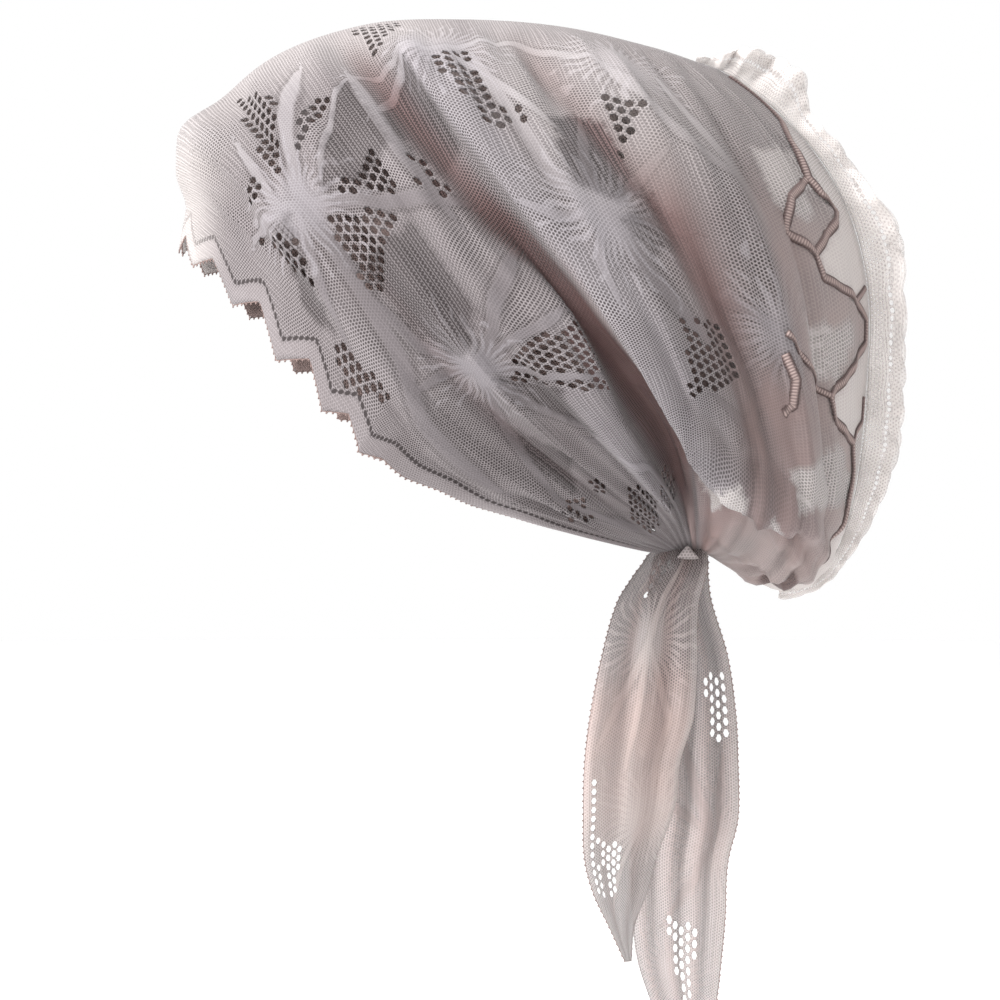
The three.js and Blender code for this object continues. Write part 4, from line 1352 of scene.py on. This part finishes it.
TIE_RIGHT_ROWS = (
    TieRow(-106.2, 75.0, 90.0, 8.0, 0.5, 0.00),
    TieRow(-110.0, 72.5, 90.6, 9.6, 0.6, 0.00),
    TieRow(-114.0, 71.5, 91.2, 10.8, 0.7, 0.00),
    TieRow(-126.0, 70.0, 92.5, 11.8, 1.1, 0.06),
    TieRow(-146.5, 72.0, 98.5, 14.6, 2.2, 0.24),
    TieRow(-167.8, 69.0, 101.5, 18.0, 3.2, 0.42),
    TieRow(-183.6, 66.0, 102.2, 19.6, 3.6, 0.52),
    TieRow(-205.0, 65.0, 102.2, 20.4, 3.6, 0.58),
    TieRow(-221.4, 64.5, 98.5, 20.4, 3.2, 0.62),
    TieRow(-241.6, 65.0, 97.6, 20.0, 2.6, 0.64),
    TieRow(-257.4, 66.5, 96.2, 19.6, 2.1, 0.64),
    TieRow(-272.0, 71.0, 94.6, 19.4, 1.5, 0.64),
    TieRow(-286.0, 77.0, 91.5, 19.2, 0.9, 0.64),
    TieRow(-297.0, 83.5, 86.5, 19.2, 0.1, 0.64),
)


@dataclass(frozen=True)
class Tie:
    """A hanging tie: a pleated strip that widens below the knot and ends in a point.

    Fields are corners in shares along and across; bursts and bands are millimetres of cloth.
    """

    name: str
    node: str
    half: Half
    rows: tuple[TieRow, ...]
    pleats: float
    phase: float
    fields: tuple
    bursts: tuple
    bands: tuple[Band, ...]
    woven: tuple = colour(168, 155, 151)
    feather_and_highlight: tuple = colour(192, 182, 179)
    paling: float = 0.45
    warmth: float = 0.6
    lines: int = 14
    cells: int = 46
    width: float = 42.0
    thickness: float = 0.5
    edge_samples: int = 400

    def place(self, run: Array, across: Array) -> Array:
        """Places at (run, across).

        Formula: the front and back edges are cubics of the drop; the cloth swings out of the
        flat by a sine across the strip whose height is a cubic of the drop.
        """
        drop = np.array([-row.z for row in self.rows])
        at = drop[0] + (drop[-1] - drop[0]) * run
        value = {
            key: table_at(drop, np.array([getattr(row, key) for row in self.rows]), at)
            for key in ("front", "back", "out", "pleat", "turn")
        }
        wave = np.sin(2 * math.pi * self.pleats * across + self.phase)
        width = value["back"] - value["front"]
        swing = value["pleat"] * wave + value["turn"] * (0.5 - across) * width
        return np.column_stack([
            self.half.value * (value["out"] + swing),
            value["front"] + width * across,
            -at,
        ])

    def surface(self, along: Array, across: Array) -> tuple:
        """Places, fabric places and notes of the strip."""
        place = self.place(along, across)
        length = self.rows[0].z - self.rows[-1].z
        fabric = np.column_stack([along * length, across * self.width])
        wave = np.sin(2 * math.pi * self.pleats * across + self.phase)
        paling = self.paling * (0.15 + rise(0.15, 0.7, along))
        notes = full_notes(
            len(along),
            # Pleat height, from which the lace takes painted shade in the pleats' valleys and a painted
            # highlight on their crests
            relief=4 * wave,
            sheer=0.5,
            rim=np.minimum(across, 1 - across) * self.width,
            pale=np.maximum(paling, 0.8 * rise(0.90, 0.97, across)),
            satin=self.warmth * rise(0.22, 0.42, along) * rise(0.80, 0.60, along),
            dark=0.9 * rise(0.17, 0.02, along),
        )
        return place, fabric, notes | band_notes(self.bands, (1.0, 1.0), fabric)

    def edge(self) -> bpy.types.Object:
        """Makes the yarn loops down the front edge, round the tip and up the back edge."""
        down = np.linspace(0.02, 1, self.edge_samples)
        run = np.concatenate([down, down[::-1]])
        across = np.repeat([0.0, 1.0], self.edge_samples)
        line = self.place(run, across)
        inside = self.place(run, np.abs(across - 0.08))
        outward = unit(line - inside)
        normals = unit(np.cross(outward, np.gradient(line, axis=0)))
        finish = YarnFinish(self.name + "_yarn")
        return PicotEdge(self.name + "_edge", finish, reach=0.5, radius=0.2).build(line, outward, normals)

    def build(self) -> bpy.types.Object:
        """Makes the piece."""
        cloth = Cloth()
        comb = Honeycomb(self.lines, self.cells)
        lace_cells(cloth, comb, self.surface, lambda u, v: inside_fields(self.fields, u, v))
        finish = LaceFinish(
            self.name + "_lace", yarn=colour(182, 173, 172), ground=colour(150, 140, 139),
            shade=colour(70, 58, 57), valley_shade=colour(150, 124, 119), satin=colour(196, 162, 152),
            woven=self.woven, crown_woven=self.woven, feather_and_highlight=self.feather_and_highlight, bursts=self.bursts, rim_dots=0,
        )
        return cloth.to_object(self.name, finish, thickness=self.thickness)


TIES = (
    Tie(
        name="tie_left_cloth", node="tie_left", half=Half.LEFT, rows=TIE_LEFT_ROWS, pleats=2.5, phase=0.4,
        fields=(
            ((0.70, 0.15), (0.72, 0.55), (0.86, 0.35)),
            ((0.04, 0.20), (0.04, 0.50), (0.16, 0.35)),
            ((0.56, 0.05), (0.56, 0.13), (0.84, 0.20), (0.84, 0.05)),
        ),
        bursts=((34.0, 20.0), (96.0, 30.0)),
        bands=(
            Band(0, 1.6, ((2.0, 26.0), (34.0, 20.0), (70.0, 5.0))),
            Band(1, 1.4, ((34.0, 20.0), (62.0, 32.0), (96.0, 30.0))),
            Band(2, 1.4, ((34.0, 20.0), (78.0, 18.0))),
            Band(3, 1.3, ((96.0, 30.0), (128.0, 14.0))),
        ),
    ),
    Tie(
        name="tie_right_cloth", node="tie_right", half=Half.RIGHT, rows=TIE_RIGHT_ROWS, pleats=3.5, phase=2.2,
        fields=(
            ((0.24, 0.66), (0.24, 0.90), (0.36, 0.95), (0.38, 0.72)),
            ((0.70, 0.35), (0.74, 0.75), (0.92, 0.55)),
        ),
        bursts=((109.0, 34.0), (158.0, 18.0)),
        bands=(
            Band(0, 1.9, ((109.0, 34.0), (92.0, 26.0), (72.0, 20.0))),
            Band(1, 1.9, ((107.0, 36.0), (94.0, 35.0), (78.0, 36.0))),
            Band(2, 1.8, ((112.0, 32.0), (122.0, 28.0), (136.0, 16.0))),
            Band(3, 1.7, ((104.0, 31.0), (96.0, 16.0), (86.0, 6.0))),
        ),
        woven=colour(104, 90, 89), feather_and_highlight=colour(146, 132, 130), paling=0.3, warmth=0.15,
    ),
)


# Height of the frill above the seam, along its run from the crown to the neck
FRILL_HEIGHTS = (
    (0.00, 1.5), (0.05, 3.2), (0.10, 6.5), (0.15, 10.1), (0.20, 13.3), (0.25, 15.3), (0.30, 16.4),
    (0.34, 8.4), (0.40, 9.0), (0.45, 10.8), (0.50, 15.8), (0.55, 13.5), (0.65, 13.8), (0.70, 14.0),
    (0.75, 11.2), (0.80, 8.3), (0.85, 5.6), (0.90, 4.7), (0.95, 4.5), (1.00, 5.5),
)


@dataclass
class SeamFrill:
    """The ruffled frill that stands on the centre-back seam, in two plies."""

    form: CapForm
    steps: int = 420
    rows: int = 8
    waves: int = 11
    wave: float = 5.0
    root_gap: float = 0.4
    top_v: float = 0.94
    top_share: float = 0.1
    end_u: float = 0.90
    lobe_depth: float = 0.12
    small_wave: float = 1.2
    small_rate: float = 2.7
    cloth_length: float = 330.0
    cloth_width: float = 15.0
    thickness: float = 0.35

    def seam(self, run: Array) -> Array:
        """Places along the seam, from the crown down to the neck."""
        on_crown = run < self.top_share
        u = np.where(on_crown, 0.0, self.end_u * (run - self.top_share) / (1 - self.top_share))
        v = np.where(on_crown, self.top_v + (1 - self.top_v) * run / self.top_share, 1.0)
        return self.form.place(u, v)

    def place(self, run: Array, share: Array, ply: int) -> Array:
        """Places of one ply.

        Formula: the seam plus a height along its in-plane normal, swung sideways by a sine that
        grows towards the free edge, the two plies leaning apart.
        """
        stations, heights = np.array(FRILL_HEIGHTS).T
        root = self.seam(run)
        along = self.seam(np.minimum(run + 0.01, 1)) - self.seam(np.maximum(run - 0.01, 0))
        off = unit(np.column_stack([np.zeros_like(run), -along[:, 2], along[:, 1]]))
        lobes = 1 - self.lobe_depth * np.abs(np.sin(math.pi * 2 * self.waves * run + ply)) ** 3
        height = table_at(stations, heights, run) * lobes
        place = root + off * (self.root_gap + height * share)[:, None]
        swing = np.sin(math.pi * run) ** 0.3
        phase = 2 * math.pi * self.waves * run + 0.9 * ply
        sway = self.wave * np.sin(phase) + self.small_wave * np.sin(self.small_rate * phase + ply)
        place[:, 0] = ply * (0.4 + 1.6 * share) + 0.8 * share * swing * sway
        return place

    def build(self, half: Half) -> bpy.types.Object:
        """Makes the ply of one half."""
        cloth = Cloth()
        run, share = shares(self.steps, self.rows)
        fabric = np.column_stack([run * self.cloth_length, share * self.cloth_width])
        notes = full_notes(run.size, relief=1.0, sheer=1.0, rim=(1 - share) * 13.0, pale=0.6)
        index = cloth.add(self.place(run, share, half.value), fabric, **notes)
        cloth.cover(grid_faces(index.reshape(self.steps + 1, self.rows + 1)))
        finish = LaceFinish(
            "frill_lace_" + half.side, yarn=colour(214, 208, 205), ground=colour(206, 198, 195),
            shade=colour(172, 158, 154), valley_shade=colour(198, 180, 175), pale=colour(232, 227, 224),
            pitch=1.4, hole=0.36, rim_dots=5.0, banded=False,
        )
        return cloth.to_object("frill_" + half.side, finish, thickness=self.thickness)


@dataclass
class NapeKnot:
    """The knot of gathered lace at the nape."""

    form: CapForm
    half_x: float = 10.8
    half_y: float = 6.2
    height: float = 9.0
    gap: float = 0.3
    turns: int = 96
    levels: int = 48
    wraps: int = 3
    wrap_depth: float = 0.10
    gathers: int = 14
    gather_depth: float = 0.025

    def build(self) -> bpy.types.Object:
        """Makes the piece.

        Formula: a ball flattened at top and bottom, its radius cut by slanted grooves between
        the wraps and by fine gathers.
        """
        angle, level = np.meshgrid(
            np.arange(self.turns) * 2 * math.pi / self.turns,
            np.linspace(-1, 1, self.levels + 1)[1:-1] * math.pi / 2,
            indexing="ij",
        )
        z = np.sin(level)
        wraps = self.wrap_depth * (0.5 + 0.5 * np.cos(self.wraps * angle + 2 * z))
        groove = 1 - (wraps + self.gather_depth * np.abs(np.sin(self.gathers * angle + 6 * z))) * (1 - z * z)
        flat = np.sign(z) * np.abs(z) ** 0.6
        middle = self.form.knot_top - self.gap - self.height / 2
        places = np.stack([
            -self.half_x * np.cos(level) * np.cos(angle) * groove,
            self.form.knot_y - 1 + self.half_y * np.cos(level) * np.sin(angle) * groove,
            middle + flat * self.height / 2,
        ], -1).reshape(-1, 3)
        cloth = Cloth()
        fabric = np.column_stack([angle.ravel() * 9, level.ravel() * 6])
        index = cloth.add(places, fabric, **full_notes(angle.size)).reshape(angle.shape)
        cloth.cover(grid_faces(np.concatenate([index, index[:1]]).T))
        cloth.faces.append(index[:, 0].tolist())
        cloth.faces.append(index[::-1, -1].tolist())
        return cloth.to_object("nape_knot_lace", LaceFinish("knot_lace", rim_dots=0, banded=False))


@dataclass(frozen=True)
class KnotFold:
    """The small light fold of cloth that stands out at the top of the knot."""

    corners: tuple = ((12.5, 79.0, -110.8), (12.5, 88.0, -111.4), (14.5, 83.0, -106.2))
    bulge: float = 43.2
    tuck: float = 2.5
    point: float = 0.98
    steps: int = 14
    thickness: float = 0.5

    def build(self) -> bpy.types.Object:
        """Makes the piece.

        Formula: a flat triangle between its corners, bulged out by the product of a place's
        three weights and bent inwards along its foot.
        """
        a, b = shares(self.steps, self.steps)
        rest = 1 - b * self.point
        weights = np.stack([(1 - a) * rest, a * rest, b * self.point], -1)
        places = weights @ np.array(self.corners)
        places[:, 0] += self.bulge * weights.prod(1) - self.tuck * (1 - b) ** 3
        cloth = Cloth()
        index = cloth.add(places, places[:, 1:], **full_notes(a.size, pale=0.35, satin=0.3))
        cloth.cover(grid_faces(index.reshape(self.steps + 1, -1)))
        finish = LaceFinish("fold_lace", rim_dots=0, banded=False)
        return cloth.to_object("knot_fold", finish, thickness=self.thickness)


# Stage


@dataclass(frozen=True)
class Studio:
    """Pale floor, soft lights and the camera at the photograph's angle."""

    floor_z: float = -0.34
    frame_width: float = 0.36
    distance: float = 1.5
    middle_y: float = 0.0162
    middle_z: float = -0.09
    aim: tuple[float, float, float] = (0.0, 0.03, -0.03)
    floor_radius: float = 6.0

    def build(self) -> None:
        """Makes the camera, the lights, the world and the floor."""
        scene = bpy.context.scene
        scene.view_settings.view_transform = "Standard"
        camera = bpy.data.cameras.new("camera")
        camera.sensor_fit = "HORIZONTAL"
        camera.angle = 2 * math.atan(self.frame_width / 2 / self.distance)
        eye = bpy.data.objects.new("camera", camera)
        eye.location = (self.distance, self.middle_y, self.middle_z)
        eye.rotation_euler = (math.pi / 2, 0.0, math.pi / 2)
        scene.collection.objects.link(eye)
        scene.camera = eye
        self.light("key", (0.8, -1.1, 0.9), 0.6, 44.0)
        self.light("top", (0.1, 0.1, 1.5), 0.9, 14.0)
        world = bpy.data.worlds.new("studio")
        world.use_nodes = True
        background = world.node_tree.nodes["Background"]
        background.inputs["Color"].default_value = (1.0, 1.0, 1.0, 1.0)
        background.inputs["Strength"].default_value = 1.0
        scene.world = world
        bpy.ops.mesh.primitive_circle_add(
            vertices=96, radius=self.floor_radius, fill_type="NGON", location=(0, 0, 0)
        )
        floor = bpy.context.object
        floor.name = "floor"
        for vertex in floor.data.vertices:
            vertex.co.z = self.floor_z
        floor.data.materials.append(Nodes("pale_floor").surface((0.99, 0.99, 0.99, 1.0), Roughness=0.9))

    def light(self, name: str, place: tuple, size: float, power: float) -> None:
        """Adds a square area light aimed at the wrap's middle."""
        data = bpy.data.lights.new(name, "AREA")
        data.size = size
        data.energy = power
        lamp = bpy.data.objects.new(name, data)
        lamp.location = place
        aim = np.array(self.aim) - np.array(place)
        yaw = math.atan2(aim[1], aim[0])
        pitch = math.atan2(aim[2], math.hypot(aim[0], aim[1]))
        lamp.rotation_euler = (math.pi / 2 + pitch, 0.0, yaw - math.pi / 2)
        bpy.context.scene.collection.objects.link(lamp)


def main() -> None:
    logging.basicConfig(level=logging.INFO, format="%(name)s: %(message)s")
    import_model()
    Studio().build()
    form = CapForm()

    trim = CapTrim(form)
    cap = CapLace(form).build()
    edge = trim.edge()
    braids = [trim.braid(half) for half in Half]
    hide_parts("cap")
    frills = [SeamFrill(form).build(half) for half in Half]
    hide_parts("back_frill")
    knot = NapeKnot(form).build()
    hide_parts("nape_knot")
    cloths = [tie.build() for tie in TIES]
    edges = [tie.edge() for tie in TIES]
    for cloth, tie in zip(cloths, TIES):
        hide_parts(tie.node)
    fold = KnotFold().build()
    slots = {"lace": [cap, edge, *braids, knot, fold], "frill_lace": frills, "tie_lace": [*cloths, *edges]}
    for name, pieces in slots.items():
        for piece in pieces:
            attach(piece, BODY)
            area = sum(face.area for face in piece.data.polygons)
            LOG.info("%s: %d faces, %.5f m2", piece.name, len(piece.data.polygons), area)


if __name__ == "__main__":
    main()
